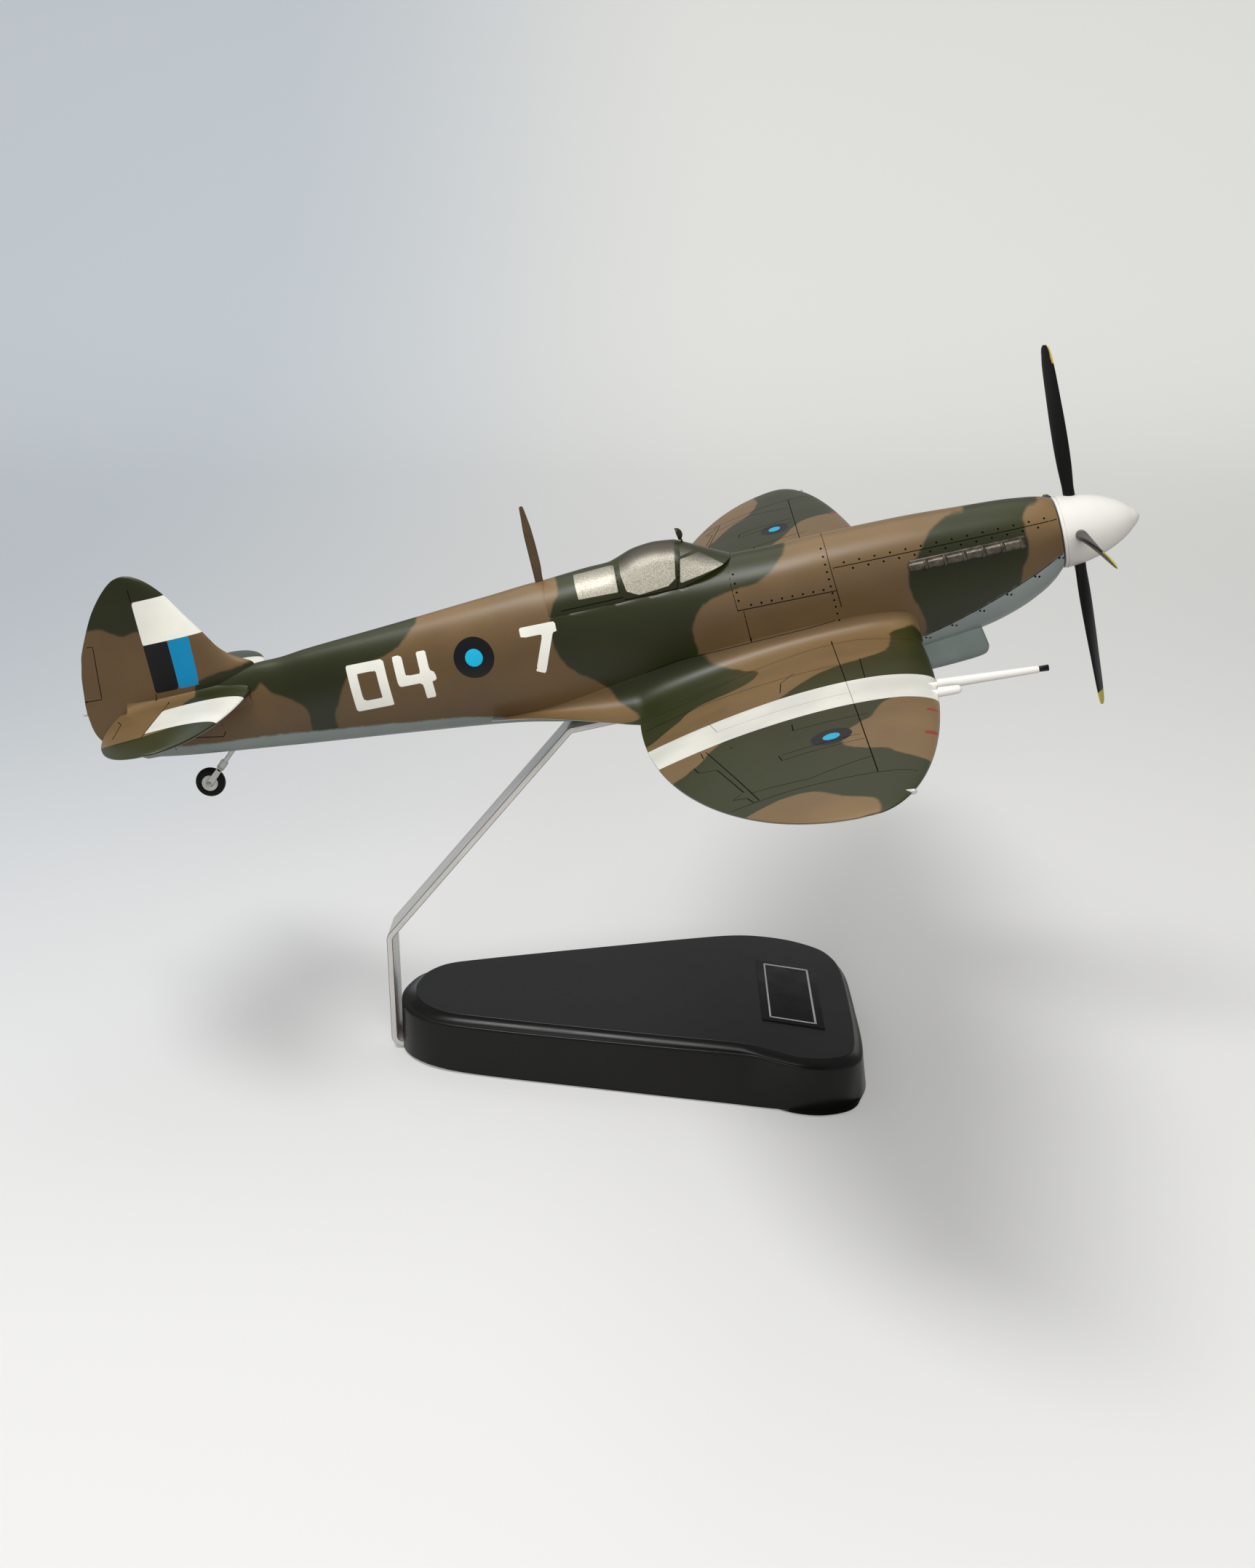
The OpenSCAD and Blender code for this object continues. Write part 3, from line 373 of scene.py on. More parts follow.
class Sheet(Nodes):
    """Nodes of one finish."""

    def __init__(self, name: str) -> None:
        """Starts an empty finish.

        Args:
            name: Name of the material.
        """
        self.material = bpy.data.materials.new(name)
        self.material.use_nodes = True
        super().__init__(self.material.node_tree)
        self.shader = self.tree.nodes["Principled BSDF"]
        self.place = self.add("ShaderNodeTexCoord").outputs["Object"]

    def mark(self, name: str) -> Socket:
        """Reads a paint mark of the piece."""
        return self.add("ShaderNodeAttribute", attribute_name=name).outputs["Fac"]

    def axis(self, number: int) -> Socket:
        """One coordinate of the place, in metres."""
        node = self.add("ShaderNodeSeparateXYZ")
        self.put(node.inputs[0], self.place)
        return node.outputs[number]

    def span(self, value: object, low: float, high: float,
             to: tuple = (0.0, 1.0)) -> Socket:
        """Maps a span of values smoothly onto another."""
        node = self.add("ShaderNodeMapRange", interpolation_type="SMOOTHSTEP")
        for socket, v in zip(node.inputs, (value, low, high) + to):
            self.put(socket, v)
        return node.outputs[0]

    def noise(self, size: float, detail: float = 2.0,
              place: object = None) -> Socket:
        """Cloudy pattern whose grains are about size metres across."""
        node = self.add("ShaderNodeTexNoise")
        self.put(node.inputs["Vector"], self.place if place is None else place)
        self.put(node.inputs["Scale"], 1 / size)
        self.put(node.inputs["Detail"], detail)
        return node.outputs["Fac"]

    def wobble(self, size: float, detail: float, reach: float) -> Socket:
        """Wandering of a hand-painted edge, in millimetres."""
        middle = self.math("SUBTRACT", self.noise(size, detail), 0.5)
        return self.math("MULTIPLY", middle, reach)

    def mix(self, share: object, a: object, b: object, blend: str = "MIX") -> Socket:
        """Mixes or multiplies two colours."""
        node = self.add("ShaderNodeMix", data_type="RGBA", blend_type=blend)
        for key, value in ((0, share), (6, a), (7, b)):
            self.put(node.inputs[key], value)
        return node.outputs[2]

    def paint(self, colour: object, roughness: object, metallic: object = 0.0,
              sheen: float = 0.5) -> None:
        """Sets the shader's main values."""
        self.put(self.shader.inputs["Specular IOR Level"], sheen)
        self.put(self.shader.inputs["Base Color"], colour)
        self.put(self.shader.inputs["Roughness"], roughness)
        self.put(self.shader.inputs["Metallic"], metallic)

    def bump(self, height: Socket, depth: float) -> None:
        """Raises the surface by a pattern, depth in metres."""
        node = self.add("ShaderNodeBump")
        self.put(node.inputs["Height"], height)
        self.put(node.inputs["Distance"], depth)
        self.put(node.inputs["Strength"], 1.0)
        self.put(self.shader.inputs["Normal"], node.outputs[0])


@dataclass(frozen=True)
class Coat:
    """Even coat of one colour, such as paint, bare metal, rubber or plastic."""

    name: str
    slot: str
    colour: tuple
    roughness: float = 0.4
    metallic: float = 0.0
    tone: float = 0.12
    patch: float = 0.012
    grain: float = 0.0004
    depth: float = 0.00001
    sheen: float = 0.5

    def build(self) -> bpy.types.Material:
        """Makes the material.

        Returns:
            The material.
        """
        sheet = Sheet(self.name)
        cloud = sheet.noise(self.patch, 4.0)
        dark = linear(tuple(k * (1 - self.tone) for k in self.colour))
        light = linear(tuple(min(255, k * (1 + self.tone / 2)) for k in self.colour))
        rough = sheet.span(cloud, 0.3, 0.7, (self.roughness - 0.05, self.roughness + 0.06))
        colour = sheet.mix(sheet.span(cloud, 0.3, 0.7), dark, light)
        sheet.paint(colour, rough, self.metallic, self.sheen)
        sheet.bump(sheet.noise(self.grain), self.depth)
        return sheet.material


@dataclass(frozen=True)
class Camouflage:
    """Satin two-tone paint with its underside, bands, stripes and windows, and painted shade that darkens
    its steep sides.
    """

    name: str
    slot: str
    brown: tuple = (130, 104, 68)
    green: tuple = (50, 54, 21)
    under: tuple = (142, 152, 148)
    white: tuple = (244, 243, 232)
    navy: tuple = (5, 6, 11)
    blue: tuple = (22, 186, 229)
    tail_blue: tuple = (2, 132, 182)
    red: tuple = (150, 48, 48)
    fleck: tuple = ((160, 154, 136), (212, 207, 190))
    glass_edge: tuple = (70, 64, 52)
    # Painted shade: multiplier that darkens the green and brown where the skin faces sideways.
    upright: tuple = (0.52, 0.51, 0.52, 1)
    worn: tuple = ((0.88, 0.88, 0.89, 1), (1.06, 1.05, 1.03, 1))
    tail_from: tuple = (-0.15, -0.16)
    soft: float = 0.8
    hand: float = 0.35
    crisp: float = 0.1

    def build(self) -> bpy.types.Material:
        """Makes the material.

        Returns:
            The material.
        """
        sheet = Sheet(self.name)
        cloud = sheet.noise(0.03, 5.0)
        wobble = sheet.wobble(0.004, 3.0, 1.4)
        edge = sheet.math("ADD", sheet.mark("green"), wobble)
        edge = sheet.span(edge, -self.soft, self.soft)
        colour = sheet.mix(edge, linear(self.brown), linear(self.green))
        # Painted shade: green and brown grow darker as the skin turns from facing up to facing sideways.
        side_shade_share = sheet.span(sheet.mark("rise"), 0.9, 0.05)
        colour = sheet.mix(side_shade_share, colour, self.upright, "MULTIPLY")
        under = sheet.math("ADD", sheet.mark("under"), wobble)
        blue = sheet.mix(sheet.span(sheet.axis(0), *self.tail_from), linear(self.blue),
                         linear(self.tail_blue))
        for value, tint, edge in ((under, linear(self.under), self.soft),
                                  (sheet.mark("white"), linear(self.white), self.crisp),
                                  (sheet.mark("navy"), linear(self.navy), self.crisp),
                                  (sheet.mark("blue"), blue, self.crisp),
                                  (sheet.mark("red"), linear(self.red), self.hand)):
            colour = sheet.mix(sheet.span(value, -edge, edge), colour, tint)
        shade = sheet.mix(sheet.span(cloud, 0.25, 0.75), *self.worn)
        colour = sheet.mix(1.0, colour, shade, "MULTIPLY")
        pane = sheet.span(sheet.mark("pane"), -0.12, 0.12)
        fleck = sheet.mix(sheet.span(sheet.noise(0.00038, 2.0), 0.36, 0.62), *map(linear, self.fleck))
        glass = sheet.mix(sheet.span(sheet.mark("fade"), 0.5, 0.98), fleck, linear(self.glass_edge))
        rough = sheet.span(cloud, 0.3, 0.7, (0.33, 0.4))
        sheet.paint(sheet.mix(pane, colour, glass), rough, sheet.math("MULTIPLY", pane, 0.25), 0.45)
        sheet.bump(sheet.noise(0.00035, 3.0), 0.000012)
        return sheet.material


@dataclass(frozen=True)
class Brushed:
    """Polished aluminium bar with a dark reflection painted along its eased edges."""

    name: str
    slot: str
    colour: tuple = (224, 221, 216)
    # Colour of the dark reflection painted along the eased edges.
    arris: tuple = (92, 86, 80)

    def build(self) -> bpy.types.Material:
        """Makes the material.

        Returns:
            The material.
        """
        sheet = Sheet(self.name)
        line = sheet.add("ShaderNodeCombineXYZ")
        sheet.put(line.inputs[0], sheet.math("MULTIPLY", sheet.mark("along"), 0.04))
        sheet.put(line.inputs[1], sheet.math("MULTIPLY", sheet.mark("across"), 3.0))
        streak = sheet.noise(1.0, 3.0, line.outputs[0])
        dark = linear(tuple(k * 0.94 for k in self.colour))
        colour = sheet.mix(sheet.span(streak, 0.3, 0.7), dark, linear(self.colour))
        # Painted reflection: the eased edges are darkened towards the middle of their round.
        edge = sheet.span(sheet.mark("arris"), 0.25, 0.75)
        rough = sheet.span(streak, 0.2, 0.8, (0.24, 0.34))
        sheet.paint(sheet.mix(edge, colour, linear(self.arris)), rough, 0.5)
        return sheet.material


@dataclass(frozen=True)
class BladeCoat:
    """Black blade paint with a hand-painted yellow tip and a grey highlight painted near the root."""

    name: str
    slot: str
    black: tuple = (12, 12, 12)
    yellow: tuple = (196, 180, 66)
    # Grey of the highlight painted near the root of one blade.
    bare: tuple = (104, 98, 88)

    def build(self) -> bpy.types.Material:
        """Makes the material.

        Returns:
            The material.
        """
        sheet = Sheet(self.name)
        wobble = sheet.wobble(0.003, 2.0, 1.6)
        tip = sheet.span(sheet.math("ADD", sheet.mark("red"), wobble), -0.2, 0.2)
        # Painted highlight: the white mark carries the grey root highlight of one blade.
        root = sheet.span(sheet.math("ADD", sheet.mark("white"), wobble), -0.5, 0.9)
        colour = sheet.mix(tip, linear(self.black), linear(self.yellow))
        sheet.paint(sheet.mix(root, colour, linear(self.bare)), 0.4, sheen=0.25)
        sheet.bump(sheet.noise(0.0005, 3.0), 0.00001)
        return sheet.material


class Finish(Enum):
    """The finishes of the display aircraft, each with its name and the record's slot."""

    CAMOUFLAGE = Camouflage("camouflage_paint", "camouflage")
    MAST = Coat("mast_brown", "brown_paint", (86, 70, 52), 0.5, tone=0.1, sheen=0.3)
    BOARD = Coat("black_lacquer", "board_black", (17, 16, 15), 0.3, tone=0.05, patch=0.05, grain=0.0007,
                 depth=0.000004, sheen=0.3)
    RUBBER = Coat("pad_rubber", "sheet_rubber", (26, 26, 26), 0.8)
    BAR = Brushed("brushed_aluminium", "bar_aluminium")
    STEEL = Coat("plain_steel", "plain_steel", (176, 174, 170), 0.35, 0.9)
    PLATE = Coat("plate_black", "plate_dark", (30, 30, 30), 0.5, tone=0.05, sheen=0.2)
    RULE = Coat("plate_rule", "white_paint", (226, 226, 222), tone=0.04)
    DARK = Coat("bronze_metal", "dark_metal", (66, 56, 46), 0.34, 0.5)
    PEWTER = Coat("exhaust_pewter", "exhaust_pewter", (98, 91, 79), 0.34, 0.6, tone=0.25, patch=0.003)
    BELLY = Coat("belly_grey", "belly_grey", (132, 142, 138), 0.45, tone=0.05, sheen=0.25)
    WHITE = Coat("white_paint", "white_paint", (240, 236, 229), tone=0.01, patch=0.05, sheen=0.4)
    MUZZLE = Coat("muzzle_black", "muzzle_black", (16, 16, 17), sheen=0.3)
    BLADE = BladeCoat("blade_black", "blade_black")
    RED = Coat("lamp_port", "lamp_red", (206, 210, 204), 0.16, 0.3, tone=0.05)
    GREEN = Coat("lamp_starboard", "lamp_green", (206, 210, 204), 0.16, 0.3, tone=0.05)
    LEG = Coat("leg_grey", "leg_grey", (196, 198, 192), tone=0.05)
    TYRE = Coat("tyre_black", "tyre_black", (18, 17, 17), 0.62, tone=0.1, sheen=0.2)
    SEAM = Coat("panel_seam", "camouflage", (14, 12, 9), 0.85, tone=0.05, sheen=0.05)
    SCUFF = Coat("band_seam", "camouflage", (150, 146, 132), 0.7, tone=0.05, sheen=0.1)

    def material(self) -> bpy.types.Material:
        """The finish's material, made once."""
        if self not in MADE:
            MADE[self] = self.value.build()
        return MADE[self]


MADE: dict = {}


def dress(piece: bpy.types.Object, finish: Finish, *nodes: str, slot: str = "") -> None:
    """Gives a piece its finish and hides the CAD nodes that it stands for.

    Args:
        piece: Piece to dress.
        finish: Finish of the whole piece.
        nodes: CAD nodes that the piece replaces.
        slot: Not used.
    """
    piece.data.materials.clear()
    piece.data.materials.append(finish.material())
    if nodes:
        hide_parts(*nodes)
    LOG.info("%s: %d faces, %s", piece.name, len(piece.data.polygons), finish.value.name)


def build_piece(name: str, shells: list, finish: Finish, *nodes: str, body: str = "aircraft",
                crease: float = 34.0, slot: str = "") -> None:
    """Makes a piece that rides on a body, and dresses it."""
    dress(mesh_piece(name, shells, body, crease), finish, *nodes, slot=slot)


def keep_node(name: str, finish: Finish) -> None:
    """Gives a CAD node that stays as it is a finish."""
    node = bpy.data.objects[name]
    for slot in node.material_slots:
        slot.material = finish.material()
    if not node.material_slots:
        node.data.materials.append(finish.material())


# ---- paint scheme
class Side(Enum):
    """Side of the aircraft, by the sign of Y."""

    PORT = 1
    STARBOARD = -1


def curved(*points: tuple) -> Array:
    """Smooth outline of a patch of camouflage."""
    return smooth_outline(list(points))


@dataclass
class PaintScheme:
    """Outlines of the camouflage and the markings, in aircraft millimetres."""

    disc_x: float = -299.6
    disc_z: float = 4.9
    disc_r: float = 9.2
    disc_inner: float = 4.0
    stroke: float = 4.4
    fin_half: float = 5.0
    wing_disc: tuple = (-155.2, 187.0)
    wing_disc_half: tuple = (7.6, 10.0)
    wing_disc_inner: float = 0.42
    gun_patches: tuple = ((169, 1.6), (201.5, 2.2))
    patch_reach: float = 4.2

    side_green = [
        curved((-256.4, 25.7), (-259.9, 20.2), (-263, 12.1), (-263.2, 4), (-260.6, -5.1),
               (-255.7, -11.1), (-249.4, -15.8), (-243, -22), (-234, -31), (-215, -45), (-204, -30),
               (-201.5, -13.5), (-201.9, -5.8), (-201, -0.7), (-197.6, 4.7), (-191.5, 8.4),
               (-178.6, 10.5), (-170.2, 11.2), (-163.2, 14.4), (-158.1, 18.2), (-154.8, 21.7),
               (-156, 30), (-205, 50), (-256, 42)),
        curved((-75.1, 20.6), (-82, 20), (-89.2, 17.8), (-93.4, 14.8), (-100.3, 6.7), (-104.4, 1.6),
               (-105.7, -4.3), (-104.6, -10.5), (-102.4, -15.9), (-101.1, -25.5), (-104, -36),
               (-92, -44), (-72, -38), (-60, -26), (-57.5, -14.3), (-55.8, -7.6), (-53.2, -4),
               (-51.7, 1.9), (-51.9, 5.9), (-51.7, 9.7), (-51.5, 13.3), (-48.8, 16.2), (-42.7, 17.6),
               (-41, 26), (-72, 30)),
        curved((-322.5, 25.1), (-325.7, 21.7), (-328.8, 18.8), (-333, 15.9), (-339.8, 13.3),
               (-346.5, 11.7), (-354.2, 10.2), (-359.4, 6.2), (-365, -2.7), (-369.1, -10.8),
               (-369.5, -22), (-381.5, -24), (-381.2, -14), (-380.3, -4), (-386, 2.5), (-394.2, 7.2),
               (-398.5, 12.5), (-401, 10), (-408, 8.5), (-424, 9), (-429, 13), (-427, 18.5),
               (-418.3, 20.4), (-409.5, 20.9), (-404.1, 21.8), (-399.5, 24), (-396, 30), (-380, 40),
               (-325, 36)),
        curved((-490, 51.8), (-469.1, 51.4), (-463.4, 50.9), (-459, 48.3), (-454.5, 45.9),
               (-449, 46.6), (-440, 47), (-425, 50), (-425, 85), (-490, 85))]
    side_under = np.array([
        (-30, -3), (-37.6, -6.1), (-50.2, -12), (-63.6, -17.3), (-76.4, -21.9), (-89.3, -26),
        (-102.5, -29.5), (-112, -33.5), (-235, -39.5), (-249, -37.2), (-276.4, -31), (-309.5, -22.6),
        (-331.7, -20.1), (-352.9, -17.7), (-376.3, -15.2), (-396.4, -12.9), (-420.4, -11.6),
        (-438, -10), (-447.2, -8.8), (-463.9, -8.9), (-490, -8.9), (-490, -70), (-30, -70)])
    plan_green = {
        Side.STARBOARD: [
            curved((-201, 20), (-190, 26), (-182, 34), (-177.6, 43), (-180, 55), (-188, 63),
                   (-206, 67), (-213, 79), (-220, 90), (-226, 98), (-240, 104), (-252, 60),
                   (-233, 40), (-235, 28), (-243, 16), (-220, 8)),
            curved((-104, 20), (-112, 24), (-118, 28), (-119, 38), (-122, 57), (-126, 66), (-135, 73),
                   (-144, 77), (-153, 83), (-160, 91), (-165, 98), (-180, 122), (-199, 149),
                   (-203, 159), (-207, 165), (-212, 171), (-222, 176), (-240, 182), (-232, 236),
                   (-204, 252), (-188, 246), (-179, 243), (-171, 243.5), (-164, 248), (-157, 259),
                   (-148, 268), (-146, 276), (-146, 296), (-90, 290), (-100, 246), (-120, 240),
                   (-133, 227), (-138, 217), (-145, 212), (-151, 204), (-152, 194), (-150, 186),
                   (-144, 177), (-139, 171), (-135, 158), (-130, 150), (-118, 140), (-96, 132),
                   (-80, 100), (-80, 50), (-90, 22))],
        Side.PORT: [
            curved((-156, 290), (-161, 255), (-165, 239), (-171, 228), (-177, 223), (-184, 212),
                   (-191, 200), (-203, 185), (-215, 165), (-240, 160), (-246, 90), (-205, 80),
                   (-196, 95), (-190, 115), (-178, 138), (-165, 150), (-154, 164), (-149, 173),
                   (-146, 180), (-140, 190), (-131, 196), (-120, 200), (-96, 204), (-90, 290)),
            curved((-85, 36), (-118, 45), (-128, 62), (-132, 85), (-126, 105), (-112, 115), (-85, 122)),
            curved((-201, 20), (-190, 26), (-182, 34), (-180, 44), (-190, 56), (-206, 60), (-240, 64),
                   (-252, 40), (-243, 16), (-220, 8))]}
    plan_band = np.array([(-250, 109), (-209, 108), (-170, 108), (-129, 110), (-114, 112),
                               (-85, 114), (-85, 155), (-113, 152), (-125, 149), (-141, 148),
                               (-193, 144), (-250, 144)])
    tail_band = np.array([(-441.6, 19.6), (-380, 19.6), (-380, 54), (-415, 54), (-441.6, 53)])
    tail_green = [
        curved((-376, 12), (-395, 5), (-406, 4.8), (-421.9, 2), (-430, 10), (-432, 20), (-424, 30),
               (-420, 40), (-424, 50), (-440, 57), (-470, 58), (-480, 95), (-380, 95)),
    ]
    fin_blocks = {
        "white": np.array([(-446.6, 39.9), (-400, 39.9), (-400, 60), (-446.1, 60)]),
        "navy": np.array([(-447.3, 17.3), (-435.9, 17.3), (-435.2, 39.9), (-446.6, 39.9)]),
        "blue": np.array([(-435.9, 17.3), (-426.3, 17.3), (-425.3, 39.9), (-435.2, 39.9)])}

    def numerals(self) -> list:
        """Strokes of the numbers on the body sides, left to right.

        Returns:
            Pairs of stroke ends.
        """
        h, low, high = self.stroke / 2, -9.2, 12.4
        bars = []
        x0, x1 = -358.0 + h, -340.4 - h
        bars += [((x0, low), (x0, high)), ((x1, low), (x1, high)),
                 ((x0 - h, low + h), (x1 + h, low + h)), ((x0 - h, high - h), (x1 + h, high - h))]
        x0, x1 = -336.2 + h, -320.6 - h
        bars += [((x1, low), (x1, high)), ((x0, -0.6), (x0, high)), ((x0 - h, 0.6), (-318.4, 0.6))]
        bars += [((-277.0, 13.6 - h), (-260.6, 13.6 - h)), ((-263.2, 12.8), (-271.6, -7.4))]
        return bars

    def from_side(self, p: Array) -> dict:
        """Marks of a body, fin or canopy surface.

        Args:
            p: Points in aircraft millimetres.

        Returns:
            Marks by name, one value for each point.
        """
        flat = p.reshape(-1, 3)
        xz = flat[:, [0, 2]]
        marks = {"green": inside_any(xz, self.side_green), "under": inside_by(xz, self.side_under)}
        for name, outline in self.fin_blocks.items():
            marks[name] = inside_by(xz, outline)
        reading = xz.copy()
        port = flat[:, 1] > 0
        reading[port, 0] = 2 * self.disc_x - reading[port, 0]
        wide = np.abs(flat[:, 1]) > self.fin_half
        strokes = np.max([bar_distance(reading, a, b, self.stroke) for a, b in self.numerals()], 0)
        r = np.hypot(xz[:, 0] - self.disc_x, xz[:, 1] - self.disc_z)
        for name, inside in (("white", strokes), ("navy", self.disc_r - r),
                             ("blue", self.disc_inner - r)):
            marks[name] = np.maximum(marks[name], np.where(wide, inside, FAR))
        return clipped(marks, p.shape[:-1])

    def from_above(self, p: Array, side: Side, upper: Array, behind: Array) -> dict:
        """Marks of a wing surface.

        Args:
            p: Points in aircraft millimetres.
            side: Side of the aircraft.
            upper: True on the upper surface.
            behind: Distance behind the leading edge.

        Returns:
            Marks by name, one value for each point.
        """
        shape = p.shape[:-1]
        flat = p.reshape(-1, 3)
        xy = np.stack([flat[:, 0], np.abs(flat[:, 1])], -1)
        top = np.ravel(np.broadcast_to(upper, shape))
        back = np.ravel(np.broadcast_to(behind, shape))
        half = self.wing_disc_half
        r = np.hypot((xy[:, 0] - self.wing_disc[0]) / half[0], (xy[:, 1] - self.wing_disc[1]) / half[1])
        front = self.patch_reach - np.where(top, back, back * 0.6)
        patches = [np.minimum(w - np.abs(xy[:, 1] - y), front) for y, w in self.gun_patches]
        marks = {"green": inside_any(xy, self.plan_green[side]),
                 "under": np.where(top, -back - 1.2, back - 1.2),
                 "white": inside_by(xy, self.plan_band),
                 "navy": np.where(top, (1 - r) * half[0], FAR),
                 "blue": np.where(top, (self.wing_disc_inner - r) * half[0], FAR),
                 "red": np.max(patches, 0)}
        return clipped(marks, shape)


PAINT = PaintScheme()


def painted(p: Array) -> Shell:
    """Skin in metres with its paint as seen from the side."""
    return Shell(AIR.world(p), PAINT.from_side(p))


# ---- airframe
def section_shares(count: int) -> tuple:
    """Goes around a wing section from its trailing edge, over the top and back.

    Args:
        count: Steps on each side.

    Returns:
        Shares of the chord and which of them lie on the upper side, each as one row.
    """
    s = (1 + np.cos(np.pi * np.arange(count + 1) / count)) / 2
    s = np.concatenate([s, s[-2::-1]])[None, :]
    return s, (np.arange(s.shape[1]) <= count)[None, :]


def stacked(x: Array, y: Array, z: Array) -> Array:
    """Points from coordinates that are spread to one shape."""
    return np.stack(np.broadcast_arrays(x, y, z), -1)


@dataclass
class Fuselage:
    """Body from the spinner to the tail frame, with its wing roots."""

    first: float = -37.0
    last: float = -400.0
    sill_z: float = 15.3
    glass_z: float = 13.9
    glass_x0: float = -179.0
    glass_x1: float = -262.7
    around: int = 132
    step: float = 1.7
    rounding: tuple = (-37.5, -38.1, -38.8, -39.7, -41, -42.6, -44.6)
    trailing_x: float = -231.0
    trailing_y: float = 48.5
    fillet_ends: tuple = (-299.0, -104.5)
    fillet_foot: float = -24.6
    lean_from: float = -216.0
    under_from: float = -236.0
    shape: Table = table([
        [-37, 15.9, -15.9, 15.9, 0, 2, 2], [-41, 17.3, -20.0, 16.6, -1, 2.03, 2.05],
        [-47, 18.4, -24.2, 17.3, -2.2, 2.08, 2.1], [-58, 19.7, -29.4, 18.1, -3.6, 2.12, 2.15],
        [-74, 20.6, -34.0, 18.9, -4.4, 2.15, 2.2], [-100, 21.9, -37.2, 19.7, -4.5, 2.18, 2.25],
        [-137, 22.3, -40.8, 20.4, -4, 2.15, 2.3], [-165, 21.9, -43.6, 20.9, -4, 2.1, 2.4],
        [-200, 23.2, -44.3, 21.3, -4, 2.05, 2.4], [-230, 26.4, -43.4, 21.0, -4, 2, 2.3],
        [-262, 28.9, -37.8, 19.4, -3, 1.95, 2.2], [-290, 27.3, -32.4, 17.2, -2, 1.95, 2.1],
        [-334, 24.4, -27.2, 13.8, -1, 1.95, 2], [-376, 21.9, -22.7, 10.3, 0, 1.95, 2],
        [-388, 20.7, -21.4, 9.4, 0, 1.95, 2], [-400, 20.5, -20.0, 8.4, 0, 1.95, 2],
        [-421, 18.4, -17.6, 6.6, 0, 1.95, 2], [-447, 12.0, -14.3, 4.4, 0, 1.95, 2],
        [-464, 8.0, -10.8, 3.0, 0, 1.95, 2], [-474, 4.0, -6.5, 2.0, 0, 1.95, 2],
        [-478.6, 1.0, -2.5, 1.0, 0, 1.95, 2]])
    root: Table = table([
        [-104, -20, 24], [-108, -15.5, 38], [-120, -12.5, 36], [-137, -11.5, 33], [-155, -11.2, 34],
        [-178, -11.6, 38], [-200, -13, 43.5], [-218, -15.6, 47], [-232, -17.8, 48.5], [-246, -20.5, 41],
        [-262, -23.5, 31.5], [-280, -26, 22], [-300, -26.4, 16.9]])

    def values(self, x: Array) -> list:
        """Top, bottom, half width, widest height and both roundings at stations x."""
        return [self.shape.at(x, k) for k in range(1, 7)]

    def half_width(self, x: Array, z: Array) -> Array:
        """Half width of the body at station x and height z.

        Args:
            x: Stations.
            z: Heights.

        Returns:
            Half widths.
        """
        top, low, wide, mid, up_n, down_n = self.values(np.asarray(x, float))
        up = z >= mid
        n = np.where(up, up_n, down_n)
        h = np.where(up, top - mid, mid - low)
        return wide * (1 - np.minimum(0.999, np.abs(z - mid) / h) ** n) ** (1 / n)

    def rings(self, stations: Array, around: int) -> Array:
        """Rings of the body.

        Args:
            stations: Stations of the rings.
            around: Points in a ring.

        Returns:
            Ring points.
        """
        a = np.arange(around) * 2 * np.pi / around
        x, a = np.meshgrid(stations, a, indexing="ij")
        top, low, wide, mid, up_n, down_n = self.values(x)
        up = np.sin(a) >= 0
        e = 2 / np.where(up, up_n, down_n)
        h = np.where(up, top - mid, mid - low)
        return stacked(x, wide * rounded_power(np.cos(a), e), mid + h * rounded_power(np.sin(a), e))

    def sill(self, x: Array) -> Array:
        """Height of the line on which the canopy stands."""
        return np.interp(x, [self.glass_x1, -203.5, self.glass_x0], [self.sill_z, self.sill_z, 22.2])

    def skin(self) -> Shell:
        """Body skin, open seat of the canopy included.

        Returns:
            The shell in metres.
        """
        x = np.linspace(self.last, self.first, int((self.first - self.last) / self.step))
        x = np.unique(np.concatenate([x, self.rounding]))
        x = np.concatenate([x[np.abs(x - self.glass_x1) > 0.6], [self.glass_x1, self.glass_x1]])
        x = np.sort(x)
        p = self.rings(x, self.around)
        seat = (x >= self.glass_x1) & (x <= self.glass_x0)
        seat[np.flatnonzero(x == self.glass_x1)[0]] = False
        p[seat, :, 2] = np.minimum(p[seat, :, 2], self.sill(x[seat])[:, None])
        return painted(p)

    def fillet(self, wing: "Wing", side: Side) -> Shell:
        """Wing root fillet of one side.

        Args:
            wing: The wing that the fillet meets.
            side: Side of the aircraft.

        Returns:
            The shell in metres.
        """
        edge, (last, first) = self.trailing_x, self.fillet_ends
        x = np.concatenate([np.linspace(last, edge - 2, 40), np.linspace(edge, first - 4, 76),
                            first - np.array([3.1, 2.1, 1, 0])])
        za, yb = self.root.at(x, 1), self.root.at(x, 2)
        ya = self.half_width(x, za) - 0.15
        over = wing.top(edge, self.trailing_y) - 0.1
        tail = np.clip((edge - x) / 69, 0, 1)
        zb = np.where(x > edge, wing.top(x, yb) - 0.12, over + (self.fillet_foot - over) * tail ** 0.8)
        lean = np.clip((self.lean_from - x) / 30, 0, 1)
        k = wing.slope + 0.12 * lean * lean * (3 - 2 * lean)
        zc = np.minimum(zb - (yb - ya) * k, za - 0.5)
        low = zb - np.where(x > edge + 5, 1.2, 0.6)
        sunk = (self.shape.at(x, 2) + 11 - zb) * np.clip((edge - x) / 60, 0, 1)
        inner = np.where(x > edge, zb - 7, zb - 6 + sunk)
        steps = 25
        t = np.linspace(0, 1, steps)[None, :]
        bow = [(1 - t) ** 2, 2 * t * (1 - t), t ** 2]
        back = [(ya - 5, za + 1), (ya - 7, inner),
                (ya + 0.35 * (yb - ya), low + 0.55 * (inner - low)), (yb, low)]
